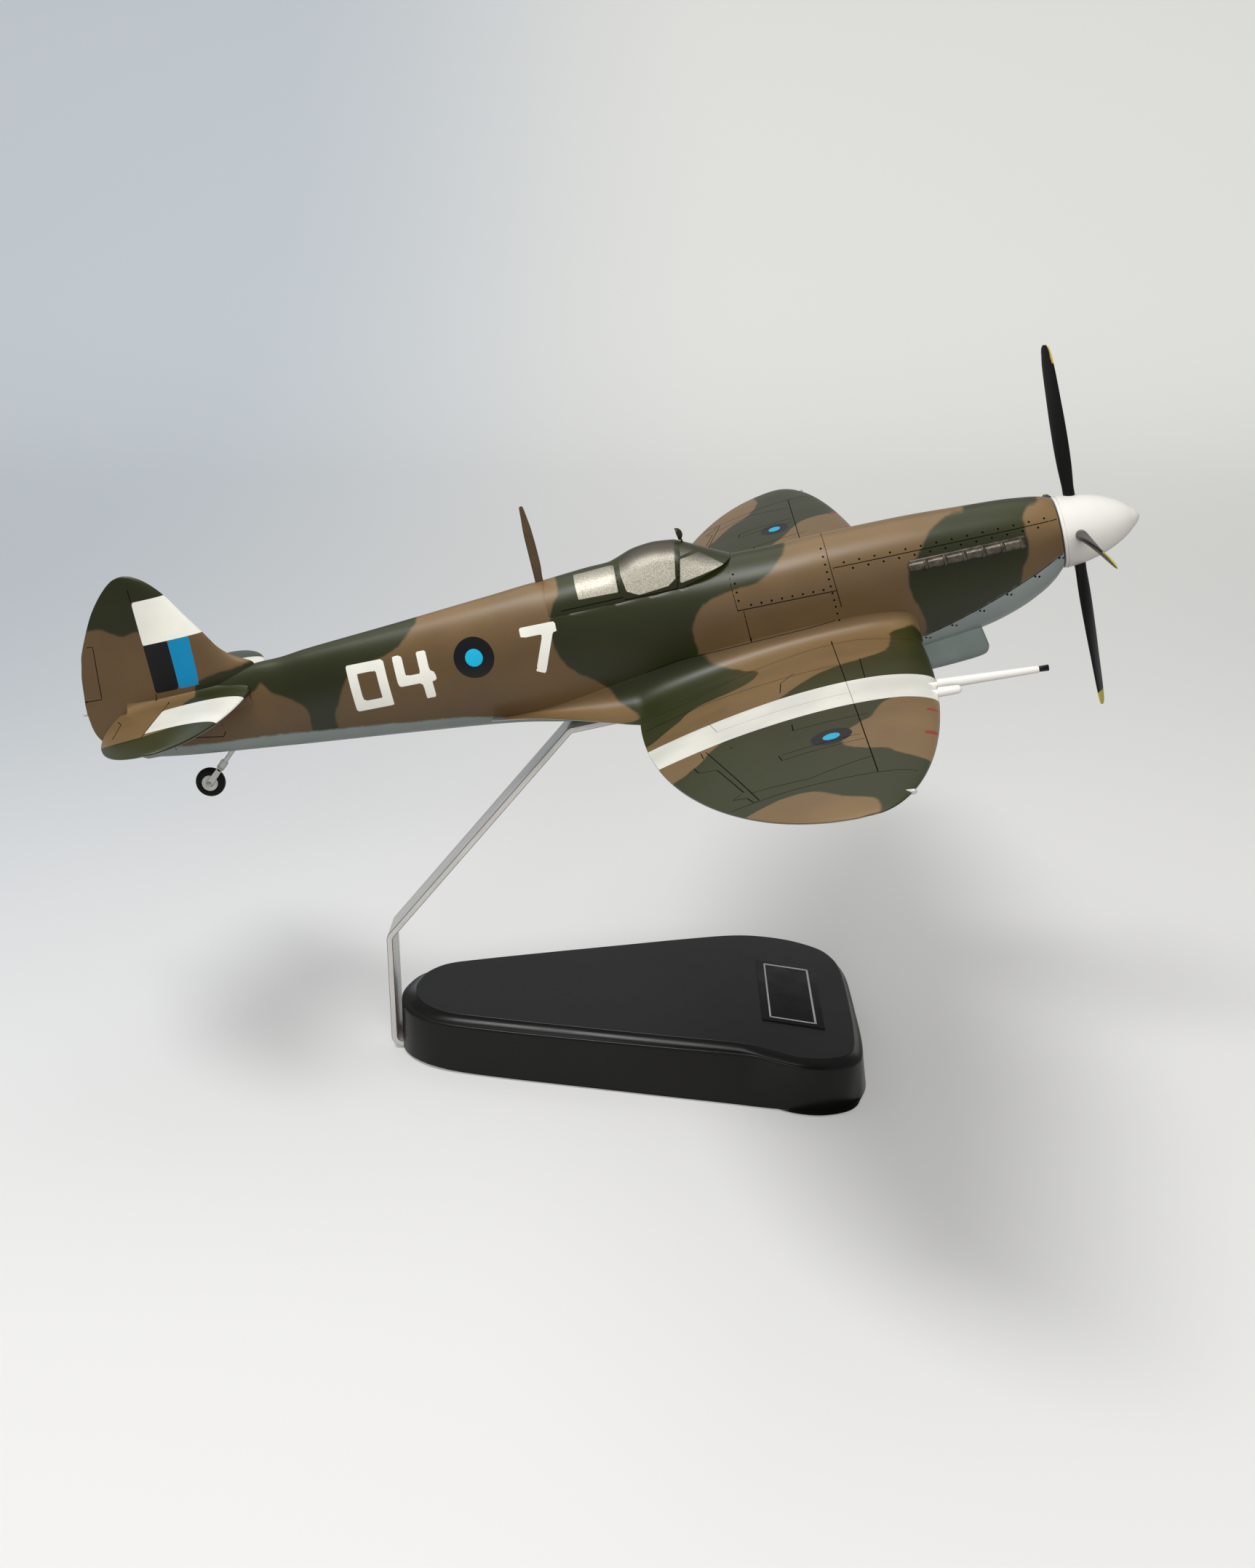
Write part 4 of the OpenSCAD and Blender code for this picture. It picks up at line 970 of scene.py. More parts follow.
        y, z = (np.hstack([sum(w * v[:, None] for w, v in zip(bow, row))] + [q[k][:, None] for q in back])
                for k, row in enumerate(((yb, ya + 0.3, ya), (zb, zc, za))))
        p = stacked(x[:, None], y * side.value, z)
        marks = PAINT.from_side(p)
        above = PAINT.from_above(p, side, np.ones(y.shape, bool), np.full(y.shape, -FAR))
        marks["green"] = np.maximum(marks["green"], above["green"])
        under = np.full(y.shape, FAR)
        under[:, steps:] = -FAR
        marks["under"] = np.where(x[:, None] > self.under_from, under, np.maximum(under, marks["under"]))
        return Shell(AIR.world(p), marks)

    def build(self, wings: list) -> None:
        """Makes the body with both wing roots.

        Args:
            wings: Both wings.
        """
        shells = [self.skin()]
        for wing in wings:
            shells += [self.fillet(wing, wing.side), wing.shell(np.linspace(4, wing.joint_y, 34))]
        build_piece("fuselage_skin", shells, Finish.CAMOUFLAGE, "fuselage")


@dataclass
class Wing:
    """One elliptical wing panel."""

    side: Side
    span: float = 561.4
    root_chord: float = 127.6
    root_x: float = -147.5
    root_z: float = -32.6
    dihedral: float = 5.12
    incidence: float = 2.69
    thickness: float = 0.13
    tip_thickness: float = 0.075
    camber: float = 0.02
    edge_part: float = 0.332
    edge: float = 0.5
    joint_y: float = 50.0
    across: int = 96

    @property
    def slope(self) -> float:
        """Rise of the wing for each step outwards."""
        return math.tan(math.radians(self.dihedral))

    def chord(self, y: Array) -> Array:
        """Chord at span station y."""
        return self.root_chord * np.sqrt(np.maximum(0, 1 - (np.asarray(y, float) / (self.span / 2)) ** 2))

    def share(self, y: Array) -> Array:
        """Thickness over chord at span station y."""
        out = np.asarray(y, float) / (self.span / 2)
        return self.thickness + (self.tip_thickness - self.thickness) * out

    def half(self, s: Array, t: Array) -> Array:
        """Half thickness over chord at share s of the chord."""
        return 5 * t * (0.2969 * np.sqrt(s) - 0.126 * s - 0.3516 * s**2 + 0.2843 * s**3 - 0.1015 * s**4)

    def top(self, x: Array, y: Array) -> Array:
        """Height of the upper surface in the aircraft frame.

        Args:
            x: Stations.
            y: Distances from the middle, positive.

        Returns:
            Heights.
        """
        c = self.chord(y)
        s = np.clip((self.root_x + self.edge_part * c - x) / c, 0.001, 1)
        return (self.root_z + (x - self.root_x) * math.tan(math.radians(self.incidence))
                + y * self.slope + 4 * self.camber * s * (1 - s) * c
                + self.half(s, self.share(y)) * c + s * self.edge / 2)

    def shell(self, stations: Array) -> Shell:
        """Wing skin through span stations.

        Args:
            stations: Distances from the middle.

        Returns:
            The shell in metres.
        """
        s, up = section_shares(self.across)
        y = np.asarray(stations, float)[:, None]
        c = self.chord(y)
        body = self.half(s, self.share(y)) * c + s * self.edge / 2
        z = y * self.slope + 4 * self.camber * s * (1 - s) * c
        p = stacked((self.edge_part - s) * c, y, z + np.where(up, body, -body))
        p = turned(p, -self.incidence, "y") * [1, self.side.value, 1] + [self.root_x, 0, self.root_z]
        return Shell(AIR.world(p), PAINT.from_above(p, self.side, np.broadcast_to(up, z.shape), s * c))

    def build(self) -> None:
        """Makes the panel outboard of its joint."""
        reach = 0.9982 * self.span / 2
        turn = np.linspace(math.asin(self.joint_y / reach), np.pi / 2, 40)[1:]
        y = np.unique(np.concatenate([np.arange(self.joint_y, reach - 14, 1.35), reach * np.sin(turn)]))
        y = y[np.concatenate([[True], np.diff(y) > 0.12])]
        name = self.side.name.lower()
        build_piece("wing_skin_" + name, [self.shell(y)], Finish.CAMOUFLAGE, "wing_" + name, crease=40)

    def at_edge(self, points: Array, y: float, out: float, up: float, pitch: float,
                yaw: float) -> Array:
        """Carries points from a frame on the leading edge to metres.

        Args:
            points: Points in millimetres, X forward.
            y: Distance of the frame from the middle.
            out: Distance of the frame ahead of the edge.
            up: Height of the frame above the edge.
            pitch: Nose-down turn in degrees.
            yaw: Outward turn in degrees.

        Returns:
            The points in metres.
        """
        p = turned(turned(points, pitch, "y"), yaw, "z")
        rise = y * self.slope
        p = p + [self.edge_part * self.chord(y) + out, y, rise + up]
        p = turned(p, -self.incidence, "y") * [1, self.side.value, 1] + [self.root_x, 0, self.root_z]
        return AIR.world(p)


@dataclass
class Canopy:
    """Windscreen, sliding hood and rear glazing, with mirror and mast."""

    body: Fuselage
    hood_x0: float = -201.2
    hood_x1: float = -229.4
    around: int = 72
    mirror: tuple = (-198.2, 0, 30.2)
    mirror_rake: float = 10.0
    mast_around: int = 28
    mast: Table = table([
        [25.6, 0, 1, 0.6], [31, 0, 1, 0.6], [36, 0, 1.13, 0.6], [45, 0, 1.13, 0.6], [50, 0, 1.08, 0.58],
        [53.4, 0.04, 1.04, 0.55], [58, 0.14, 0.9, 0.5], [61.3, 0.2, 0.79, 0.46], [63.2, 0.26, 0.7, 0.42],
        [63.55, 0.36, 0.62, 0.3]])
    shape: Table = table([
        [-178, 21.8, 2.1], [-183, 24.3, 2.1], [-199.5, 32.8, 2.2], [-202, 33.9, 2.2], [-206, 34.6, 2.15],
        [-211, 35.1, 2.1], [-216, 34.9, 2.05], [-222, 34.0, 2], [-229, 31.6, 2], [-233, 30.5, 2],
        [-243, 30.2, 1.97], [-264, 28.75, 1.95]])
    panes: tuple = (
        ((-248.9, 29.3), (-230.3, 30.0), (-230.3, 19.8), (-248.2, 20.2)),
        ((-227.6, 33), (-224, 35.5), (-219.5, 36.5), (-210.9, 37), (-201.6, 36.5), (-204.5, 20.1),
         (-208.2, 17.7), (-221.5, 16.7), (-226.6, 19.3), (-227.9, 26.7)),
        ((-200.7, 27.5), (-192.3, 28), (-182.4, 21.1), (-202.8, 17.7)),
        ((-200.1, 32.1), (-195.8, 30.7), (-194.1, 29.2), (-200.4, 28.6)))

    def foot_width(self, x: Array, h: Array, e: Array) -> Array:
        """Half width of the glass at its foot, flush with the body at the sill.

        Args:
            x: Stations.
            h: Heights of the glass over its foot.
            e: Exponents of its round.

        Returns:
            Half widths.
        """
        body = self.body
        flush = body.half_width(x, np.full(x.shape, body.sill_z))
        flush = flush / (1 - ((body.sill_z - body.glass_z) / h) ** (2 / e)) ** (e / 2)
        wide = body.half_width(x, np.full(x.shape, body.glass_z))
        return flush + (wide - flush) * np.clip((x + 206) / 14, 0, 1)

    def shell(self, x0: float, x1: float) -> Shell:
        """Glass between two stations.

        Args:
            x0: Front station.
            x1: Rear station.

        Returns:
            The shell in metres.
        """
        x = np.linspace(x1, x0, int((x0 - x1) / 0.45) + 2)[:, None]
        e = 2 / self.shape.at(x, 2)
        h = self.shape.at(x, 1) - self.body.glass_z
        foot = np.clip((self.body.sill(x) - self.body.glass_z) / h, 0, 0.9999)
        a0 = np.arcsin(foot ** (1 / e))
        a = a0 + (np.pi - 2 * a0) * np.linspace(0, 1, self.around)[None, :]
        y = self.foot_width(x, h, e) * rounded_power(np.cos(a), e)
        z = self.body.glass_z + h * rounded_power(np.sin(a), e)
        p = stacked(x, y, z)
        marks = PAINT.from_side(p)
        marks["pane"] = inside_any(p.reshape(-1, 3)[:, [0, 2]], self.panes).reshape(y.shape)
        marks["fade"] = (z - self.body.glass_z) / h - 0.22 * np.clip((-228 - x) / 4, 0, 1)
        return Shell(AIR.world(p), marks)

    def build(self) -> None:
        """Makes the three glass pieces, the mirror and the mast."""
        ends = {"windscreen": (self.body.glass_x0 - 0.3, self.hood_x0),
                "canopy_hood": (self.hood_x0, self.hood_x1),
                "rear_glazing": (self.hood_x1, self.body.glass_x1)}
        for node, (x0, x1) in ends.items():
            build_piece(node + "_skin", [self.shell(x0, x1)], Finish.CAMOUFLAGE, node, crease=50,
                        slot="pane_silver")
        post = turned(revolve([(0, 0.45), (5, 0.42)], 20), -90, "y")
        t = np.linspace(0.02, np.pi / 2, 22)
        lens = [(2.58 * math.cos(k), 2.85 * math.sin(k)) for k in t]
        lens = revolve(lens + [(0.06, 2.84), (0.02, 2.7), (0.02, 2.45), (0.3, 2.35)], 56)
        lens = lens * [1, 0.9, 1] + [-1, 0, 6.3]
        shells = [Shell(AIR.world(turned(q, -self.mirror_rake, "y") + self.mirror)) for q in (post, lens)]
        build_piece("mirror_glass", shells, Finish.DARK, "rear_mirror")
        self.build_mast()

    def build_mast(self, width: float = 3.7) -> None:
        """Makes the tapered antenna mast.

        Args:
            width: Width at the foot.
        """
        x0 = self.body.glass_x1 - 0.2 - width
        a = np.arange(self.mast_around) * 2 * np.pi / self.mast_around
        oval = rounded_power(np.cos(a), 0.8), rounded_power(np.sin(a), 0.9)
        rings = []
        for z in np.concatenate([np.linspace(25.6, 63.2, 44), [63.45, 63.55]]):
            back, front, half_t = (float(self.mast.at(z, k)) for k in (1, 2, 3))
            half, mid = (front - back) / 2 * width, (front + back) / 2 * width + x0
            rings.append(stacked(mid + half * oval[0], half_t * oval[1], z))
        shell = Shell(AIR.world(np.array(rings)))
        build_piece("mast_blade", [shell], Finish.MAST, "antenna_mast")


@dataclass
class Tail:
    """Tail cone, fin, rudder and both tailplanes."""

    body: Fuselage
    wing: Wing
    plane_x: float = -435.4
    plane_z: float = 10.1
    half_span: float = 83.0
    root_chord: float = 63.5
    joint_y: float = 12.0
    share: float = 0.095
    fin_edge: float = 0.8
    fin: Table = table([
        [-12.6, -428, -461, 2.2], [-8, -424, -470, 3], [-4, -420, -475.4, 3.4], [0, -412, -479.2, 3.5],
        [5, -408, -481.4, 3.8], [13, -404, -482, 4], [18, -401.4, -481.7, 4.1],
        [20.8, -400.4, -481.2, 3.95], [22.4, -402, -480.9, 3.75], [24.2, -405.4, -480.6, 3.5],
        [27.2, -410.2, -480.1, 3.3], [31.5, -414.4, -479.2, 3.1], [36, -417.1, -477.8, 2.95],
        [41, -419.9, -476.2, 2.85], [50, -425.4, -471.4, 2.5], [58, -430, -466.4, 2.1],
        [64, -434.4, -461.4, 1.7], [68.5, -439, -456.6, 1.3], [71.3, -443.6, -452.4, 0.8],
        [72.1, -446.4, -449.6, 0.45]])

    def fin_shell(self) -> Shell:
        """Fin and rudder in one.

        Returns:
            The shell in metres.
        """
        t = np.linspace(0, 1, 26)
        z = [np.linspace(-12.6, 60, 66), 60 + 12.1 * np.sin(t * np.pi / 2)]
        z = np.unique(np.concatenate(z))[:, None]
        lead, trail, thick = (self.fin.at(z, k) for k in (1, 2, 3))
        s, first = section_shares(56)
        c = lead - trail
        y = self.wing.half(s, thick / 0.5 / c) * c + s * np.minimum(self.fin_edge / 2, thick * 0.6)
        p = stacked(lead - s * c, np.where(first, -y, y), z)
        return painted(p)

    def chord(self, y: Array) -> Array:
        """Chord of the tailplane at distance y from the middle."""
        out = np.asarray(y, float) / self.half_span
        return self.root_chord * np.maximum(0, 1 - out ** 2.4) ** 0.46

    def plane_shell(self, side: Side, stations: Array) -> Shell:
        """Tailplane skin through span stations.

        Args:
            side: Side of the aircraft.
            stations: Distances from the middle.

        Returns:
            The shell in metres.
        """
        s, up = section_shares(60)
        y = np.asarray(stations, float)[:, None]
        c = self.chord(y)
        body = self.wing.half(s, self.share) * c + s * self.wing.edge / 2
        x = self.plane_x + 0.5 * c - s * c
        p = stacked(x, y * side.value, self.plane_z + np.where(up, body, -body))
        xy, back = stacked(x, y, 0.0).reshape(-1, 3)[:, :2], s * c
        band = inside_by(xy, PAINT.tail_band).reshape(x.shape)
        marks = {"green": inside_any(xy, PAINT.tail_green).reshape(x.shape),
                 "white": np.where(up, band, FAR), "under": np.where(up, -back - 1.0, back - 1.0)}
        return Shell(AIR.world(p), marks)

    def fillet(self, side: Side, up: int) -> Shell:
        """Fillet between tailplane and body.

        Args:
            side: Side of the aircraft.
            up: 1 above the tailplane, -1 below it.

        Returns:
            The shell in metres.
        """
        x = np.linspace(-462.3, -404.5, 40)[:, None]
        c = self.chord(11)
        s = np.clip((self.plane_x + 0.5 * c - x) / c, 0.001, 1)
        h = self.wing.half(s, self.share) * c + s * self.wing.edge / 2
        yb, zb, za = 11.6, self.plane_z + up * (h - 0.1), self.plane_z + up * (h + 5.5)
        ya = np.maximum(self.body.half_width(x, za) - 0.15, 2.4 if up > 0 else 1.2)
        t = np.linspace(0, 1, 15)[None, :]
        y = (1 - t) ** 2 * yb + 2 * t * (1 - t) * (ya + 0.2) + t ** 2 * ya
        z = (1 - t ** 2) * zb + t ** 2 * za
        end = np.ones(x.shape)
        y = np.hstack([y, 0.3 * end, 0.3 * end, yb * end])
        z = np.hstack([z, za, self.plane_z * end, self.plane_z * end])
        p = stacked(x, y * side.value, z)
        return painted(p)

    def build(self) -> None:
        """Makes the tail unit and both tailplanes."""
        cone = self.body.rings(np.linspace(-478.6, self.body.last, 52), 96)
        shells = [painted(cone), self.fin_shell()]
        for side in Side:
            shells.append(self.plane_shell(side, np.linspace(0.4, self.joint_y, 10)))
            shells += [self.fillet(side, up) for up in (1, -1)]
        build_piece("tail_skin", shells, Finish.CAMOUFLAGE, "tail_unit", crease=40)
        reach = 0.998 * self.half_span
        turn = np.linspace(math.asin(self.joint_y / reach), np.pi / 2, 64)
        for side in Side:
            name = side.name.lower()
            shell = self.plane_shell(side, reach * np.sin(turn))
            build_piece("tailplane_skin_" + name, [shell], Finish.CAMOUFLAGE, "tailplane_" + name,
                        crease=40)


# ---- fittings
@dataclass
class Propeller:
    """Spinner, its back plate and four blades."""

    spinner_len: float = 34.7
    spinner_r: float = 16.0
    back_t: float = 1.5
    blade_x: float = -28.6
    radius: float = 81.5
    root_k: float = 0.199
    blades: int = 4
    nose: tuple = ((0, 0.004), (0.002, 0.034), (0.006, 0.06), (0.03, 0.15), (0.063, 0.23), (0.11, 0.32),
                   (0.18, 0.45), (0.26, 0.565), (0.36, 0.68), (0.48, 0.79), (0.62, 0.885), (0.77, 0.95),
                   (0.9, 0.985), (1, 1))
    shape: Table = table([
        [0.199, 5.2, 62, 4.7], [0.235, 5.2, 60, 4.3], [0.28, 5.9, 56, 3.7], [0.34, 6.9, 51, 3.2],
        [0.42, 7.9, 45, 2.8], [0.5, 8.6, 40, 2.5], [0.6, 9, 36, 2.2], [0.7, 9, 32.5, 1.9],
        [0.8, 8.8, 30, 1.7], [0.88, 8.3, 28.5, 1.5], [0.94, 7.3, 27.5, 1.3], [0.975, 6, 27, 1.1],
        [0.993, 4.2, 27, 0.9], [1, 2.2, 27, 0.7]])
    rest_turn: float = -1.5
    tips: tuple = (8.0, 10.0, 6.5, 8.0)
    # The one blade that carries a painted grey highlight near its root, and how far out it reaches in
    # millimetres.
    root_highlight: int = 1
    root_highlight_reach: float = 18.4

    def blade(self, number: int) -> Shell:
        """One twisted blade.

        Args:
            number: Place of the blade around the hub.

        Returns:
            The shell in metres.
        """
        tip = 0.9 + 0.1 * np.sin(np.linspace(0.1, np.pi / 2, 18))
        k = np.concatenate([[0.145], np.linspace(self.root_k, 0.9, 44), tip])[:, None]
        chord, turn, thick = (self.shape.at(k, n) for n in (1, 2, 3))
        a = (np.arange(36) * 2 * np.pi / 36)[None, :]
        u, v = chord / 2 * np.cos(a), thick / 2 * rounded_power(np.sin(a), 0.9)
        b = np.radians(turn)
        p = stacked(u * np.sin(b) + v * np.cos(b), -u * np.cos(b) + v * np.sin(b), k * self.radius)
        p = turned(p + [self.blade_x, 0, 0], 360 / self.blades * number + self.rest_turn, "x")
        reach = np.broadcast_to(k * self.radius, p.shape[:-1])
        tip = np.minimum(reach - self.radius + self.tips[number], 3.0 * np.sin(a) + 1.6)
        # Painted highlight near the root, on the one blade only.
        root_highlight = self.root_highlight_reach - reach if number == self.root_highlight else np.full(reach.shape, FAR)
        return Shell(AIR.world(p), {"red": tip, "white": root_highlight})

    def build(self) -> None:
        """Makes the propeller's pieces."""
        r = np.array([k[1] for k in self.nose]) * self.spinner_r
        x = -np.array([k[0] for k in self.nose]) * self.spinner_len
        dense = np.linspace(0, len(r) - 1, 90)
        profile = list(zip(np.interp(dense, np.arange(len(x)), x), self.rounded(r, x, dense)))
        spinner = Shell(AIR.world(revolve(profile)))
        build_piece("spinner_skin", [spinner], Finish.WHITE, "spinner", body="propeller")
        x0, r0 = -self.spinner_len, self.spinner_r - 0.2
        plate = revolve([(x0, r0 - 1), (x0, r0 - 0.3), (x0 - 0.3, r0), (x0 - self.back_t + 0.3, r0),
                         (x0 - self.back_t, r0 - 0.3), (x0 - self.back_t, 2.5)])
        build_piece("backplate_disc", [Shell(AIR.world(plate))], Finish.WHITE, "backplate",
                    body="propeller")
        for i in range(self.blades):
            build_piece("blade_skin_%d" % (i + 1), [self.blade(i)], Finish.BLADE, "blade_%d" % (i + 1),
                        body="propeller", crease=60)

    def rounded(self, r: Array, x: Array, dense: Array) -> Array:
        """Radii at places between the stations x, on the square of the radius."""
        q = np.interp(dense, np.arange(len(x)), x)
        return np.sqrt(np.maximum(Table(list(zip(x, r**2))).at(q, 1), 1e-4))


@dataclass
class TailWheel:
    """Tail wheel with its fork, leg and axle."""

    tyre_r: float = 6.9
    tyre_w: float = 4.6
    hub_r: float = 3.7
    leg_angle: float = 41.0
    axle: tuple = (-436.2, 0.0, -29.8)
    strut_r: float = 1.1

    def place(self, p: Array) -> Array:
        """Carries points from the leg's frame to metres."""
        return AIR.world(turned(p, -self.leg_angle, "y") + np.array(self.axle))

    def round_part(self, profile: list, count: int = 64) -> Shell:
        """Turned part about the axle, from pairs of side offset and radius."""
        return Shell(self.place(turned(revolve(profile, count), 90, "z")))

    def build(self) -> None:
        """Makes the wheel, its fork, its leg and its axle."""
        w, r0, r1 = self.tyre_w / 2, self.hub_r, self.tyre_r
        a = np.linspace(-np.pi / 2 - 0.75, np.pi / 2 + 0.75, 41)
        a = a[np.abs(a) < 2.2]
        mid, half, seat = r0 + (r1 - r0) * 0.42, (r1 - r0) * 0.58, r0 + 0.02
        tread = np.maximum(mid + half * rounded_power(np.cos(a), 0.85), seat)
        tyre = list(zip(w * rounded_power(np.sin(a), 0.9), tread))
        tyre = [(-w * 0.72, seat)] + tyre + [(w * 0.72, seat)]
        build_piece("tyre_ring", [self.round_part(tyre, 88)], Finish.TYRE, "wheel_tyre",
                    body="tail_wheel", crease=50)
        face = [(w - 0.1, r0), (w - 0.05, r0 - 0.45), (w - 0.5, r0 - 0.65), (w - 0.55, 2.2),
                (w - 0.1, 1.95), (w + 0.2, 1.75), (w + 0.2, 1.05)]
        hub = [(-s, r) for s, r in face[::-1]] + face
        build_piece("hub_disc", [self.round_part(hub)], Finish.LEG, "wheel_hub", body="tail_wheel")
        y = w + 0.55
        ends = [(y + 1.2, 1.0), (y + 1.25, 1.4), (y + 1.7, 1.4), (y + 1.8, 1.2), (y + 1.8, 0.1)]
        axle = [(-s, r) for s, r in ends[::-1]] + ends
        build_piece("axle_pin", [self.round_part(axle, 40)], Finish.STEEL, "wheel_axle")
        self.build_fork(y)
        strut = revolve([(9, self.strut_r), (25, self.strut_r)], 32)
        build_piece("leg_rod", [Shell(self.place(strut))], Finish.LEG, "tail_strut")

    def build_fork(self, y: float) -> None:
        """Makes the fork.

        Args:
            y: Inner face of a fork arm from the middle.
        """
        turn = np.linspace(np.pi * 0.62, np.pi * 1.38, 13)
        arm = [(1.6 * np.cos(t), 1.6 * np.sin(t)) for t in turn]
        edge = [(0.6, -1.55), (8.4, -1.3), (9.0, -1.1), (9.2, -0.8)]
        arm += edge + [(x, -z) for x, z in edge[::-1]]
        half = 0.6
        parts = [slab(arm, s * (y + half) - half, s * (y + half) + half, 0.22) for s in (-1, 1)]
        parts.append(box_rings((7.8, -y - 2 * half, -1.25), (9.4, y + 2 * half, 1.25), 0.4))
        parts.append(revolve([(8, 1.5), (8.2, 1.8), (12.3, 1.8), (12.6, 1.5)], 36))
        shells = [Shell(self.place(part)) for part in parts]
        build_piece("fork_arms", shells, Finish.LEG, "tail_fork")


def slab(outline: list, low: float, high: float, bevel: float) -> Array:
    """Rings of a flat plate across Y with eased edges.

    Args:
        outline: Corners in X and Z.
        low: One face.
        high: Other face.
        bevel: Width of the eased edge.

    Returns:
        Ring points.
    """
    o = np.array(outline, float)
    c = o.mean(0)
    d = o - c
    inset = c + d * (1 - bevel / np.maximum(np.linalg.norm(d, axis=1, keepdims=True), bevel * 1.5))
    rings = []
    for ring, y in ((inset, low), (o, low + bevel), (o, high - bevel), (inset, high)):
        rings.append(np.stack([ring[:, 0], np.full(len(ring), y), ring[:, 1]], -1))
    return np.array(rings)


@dataclass
class NoseFittings:
    """Exhaust stacks and the air scoop under the nose."""

    pocket_y: float = 16.6
    stack_x: float = -54.2
    stack_z: float = 3.7
    pitch: float = 8.4
    stubs: int = 6
    scoop: Table = table([
        [-74.2, -43.4, 6], [-74.8, -45.2, 7], [-76, -46.5, 7.5], [-79, -47.3, 7.8], [-85, -47.9, 8],
        [-98, -48.6, 8], [-112, -48.8, 7.8], [-130, -47.9, 7.2], [-150, -45.5, 5.6], [-160, -43.8, 4]])

    def stub(self) -> Shell:
        """One exhaust stub at the origin, its mouth aft.

        Returns:
            The shell in millimetres.
        """
        profile = [(0, 1.2), (0, 1.9), (-0.45, 2.0), (-0.62, 2.3), (-0.85, 2.46), (-1.2, 2.46),
                   (-1.42, 2.3), (-1.6, 1.98), (-2.2, 1.9), (-3.6, 1.97), (-5.4, 1.88), (-7.4, 1.74),
                   (-7.9, 1.8), (-8.1, 1.72), (-8.2, 1.5), (-7.8, 1.3), (-6.2, 1.2)]
        return Shell(turned(revolve(profile, 24) * [1, 0.92, 1.08], 3, "z"))

    def exhaust(self, side: Side) -> None:
        """Makes one stack of exhaust stubs.

        Args:
            side: Side of the aircraft.
        """
        name = side.name.lower()
        x, z = self.stack_x, self.stack_z
        half = 2.6
        block = box_rings((x - 49.8, self.pocket_y, z - half),
                          (x + 1.2, self.pocket_y + half, z + half), 0.5)
        shells = [Shell(AIR.world(block * [1, side.value, 1]))]
        stub = self.stub().points
        for i in range(self.stubs):
            y = self.pocket_y + 3.4 + 0.9 * math.sin(math.radians(30 * i))
            place = np.array([x - i * self.pitch, y, z])
            shells.append(Shell(AIR.world((stub + place) * [1, side.value, 1])))
        build_piece("exhaust_stack_" + name, shells, Finish.PEWTER, "exhaust_" + name, crease=50)

    def intake(self) -> None:
        """Makes the open air scoop."""
        count = 40
        a = np.pi + np.pi * np.arange(count) / (count - 1)
        rows = [(-81, 1.3, -77), (-77.5, 1.3, -77), (-76, 1.1, -76), (-75.2, 1.0, -75),
                (-74.6, 0.9, -74.5), (-74.3, 0.65, -74.35), (-74.2, 0.4, -74.3), (-74.25, 0.15, -74.25)]
        rows += [(x, 0, x) for x in (-74.3, -74.5, -74.75, -75.1, -75.6, -76.2, -77, -78, -79.5)]
        rows += [(x, 0, x) for x in np.linspace(-81, -159, 48)]
        rings = []
        for x, inset, at in rows:
            low = float(self.scoop.at(at, 1)) + inset
            half = float(self.scoop.at(at, 2)) - inset
            z = -33 + (-33 - low) * rounded_power(np.sin(a), 0.6)
            if inset > 0.8:
                z = np.minimum(z, -35.6)
            lean = 0.22 * np.maximum(0, z + 43) * max(0.0, 1 + (x + 74.2) / 16)
            rings.append(np.stack([x - lean, half * rounded_power(np.cos(a), 0.6), z], -1))
        build_piece("scoop_shell", [Shell(AIR.world(np.array(rings)))], Finish.BELLY, "air_intake")

    def build(self) -> None:
        """Makes both stacks and the scoop."""
        for side in Side:
            self.exhaust(side)
        self.intake()


@dataclass
class WingFittings:
    """Cannon, its muzzle, the gun stub and the tip lamp of one wing."""

    wing: Wing
    gun_y: float = 126.0
    stub_y: float = 138.0
    lamp_inset: float = 14.7
    gun_len: float = 43.4
    droop: float = 3.6
    muzzle_len: float = 3.8

    def build(self) -> None:
        """Makes the fittings."""
        name, nose_down = self.wing.side.name.lower(), self.droop + self.wing.incidence
        neck = self.gun_len - self.muzzle_len
        mouth = self.gun_len
        barrel = [(-6, 1.1), (0.4, 1.1), (0.4, 2.0), (0.7, 2.13), (neck - 0.2, 1.4), (neck, 1.25),
                  (neck, 0.3)]
        tip = [(neck, 0.4), (neck, 1.08), (neck + 0.1, 1.1), (mouth - 0.25, 1.25), (mouth, 1.12),
               (mouth, 0.85), (mouth - 0.2, 0.75), (mouth - 2.4, 0.75)]
        stub = [(-6, 1.1), (0.6, 1.1), (0.6, 1.93), (4.0, 1.84), (8.0, 1.65)]
        stub += [(8.0 + 1.65 * math.sin(t), 1.65 * math.cos(t)) for t in np.linspace(0.1, 1.54, 12)]
        lamp = [(-2, 0.9)]
        lamp += [(0.6 + 0.9 * math.sin(t), 0.9 * math.cos(t)) for t in np.linspace(0, 1.54, 12)]
        lamp_y = self.wing.span / 2 - self.lamp_inset
        red = Finish.RED if self.wing.side is Side.PORT else Finish.GREEN
        gun = (-0.13, 1.5, nose_down, 0)
        rows = [("cannon_barrel_", "cannon_", barrel, self.gun_y, gun, Finish.WHITE),
                ("muzzle_tube_", "muzzle_", tip, self.gun_y, gun, Finish.MUZZLE),
                ("gun_stub_", "stub_", stub, self.stub_y, (-0.52, 1.14, nose_down, 0), Finish.WHITE),
                ("tip_lamp_", "wing_light_", lamp, lamp_y, (0, 0.2, 0, 24), red)]
        for piece_name, node, profile, y, at, finish in rows:
            points = self.wing.at_edge(revolve(profile, 36), y, *at)
            build_piece(piece_name + name, [Shell(points)], finish, node + name)


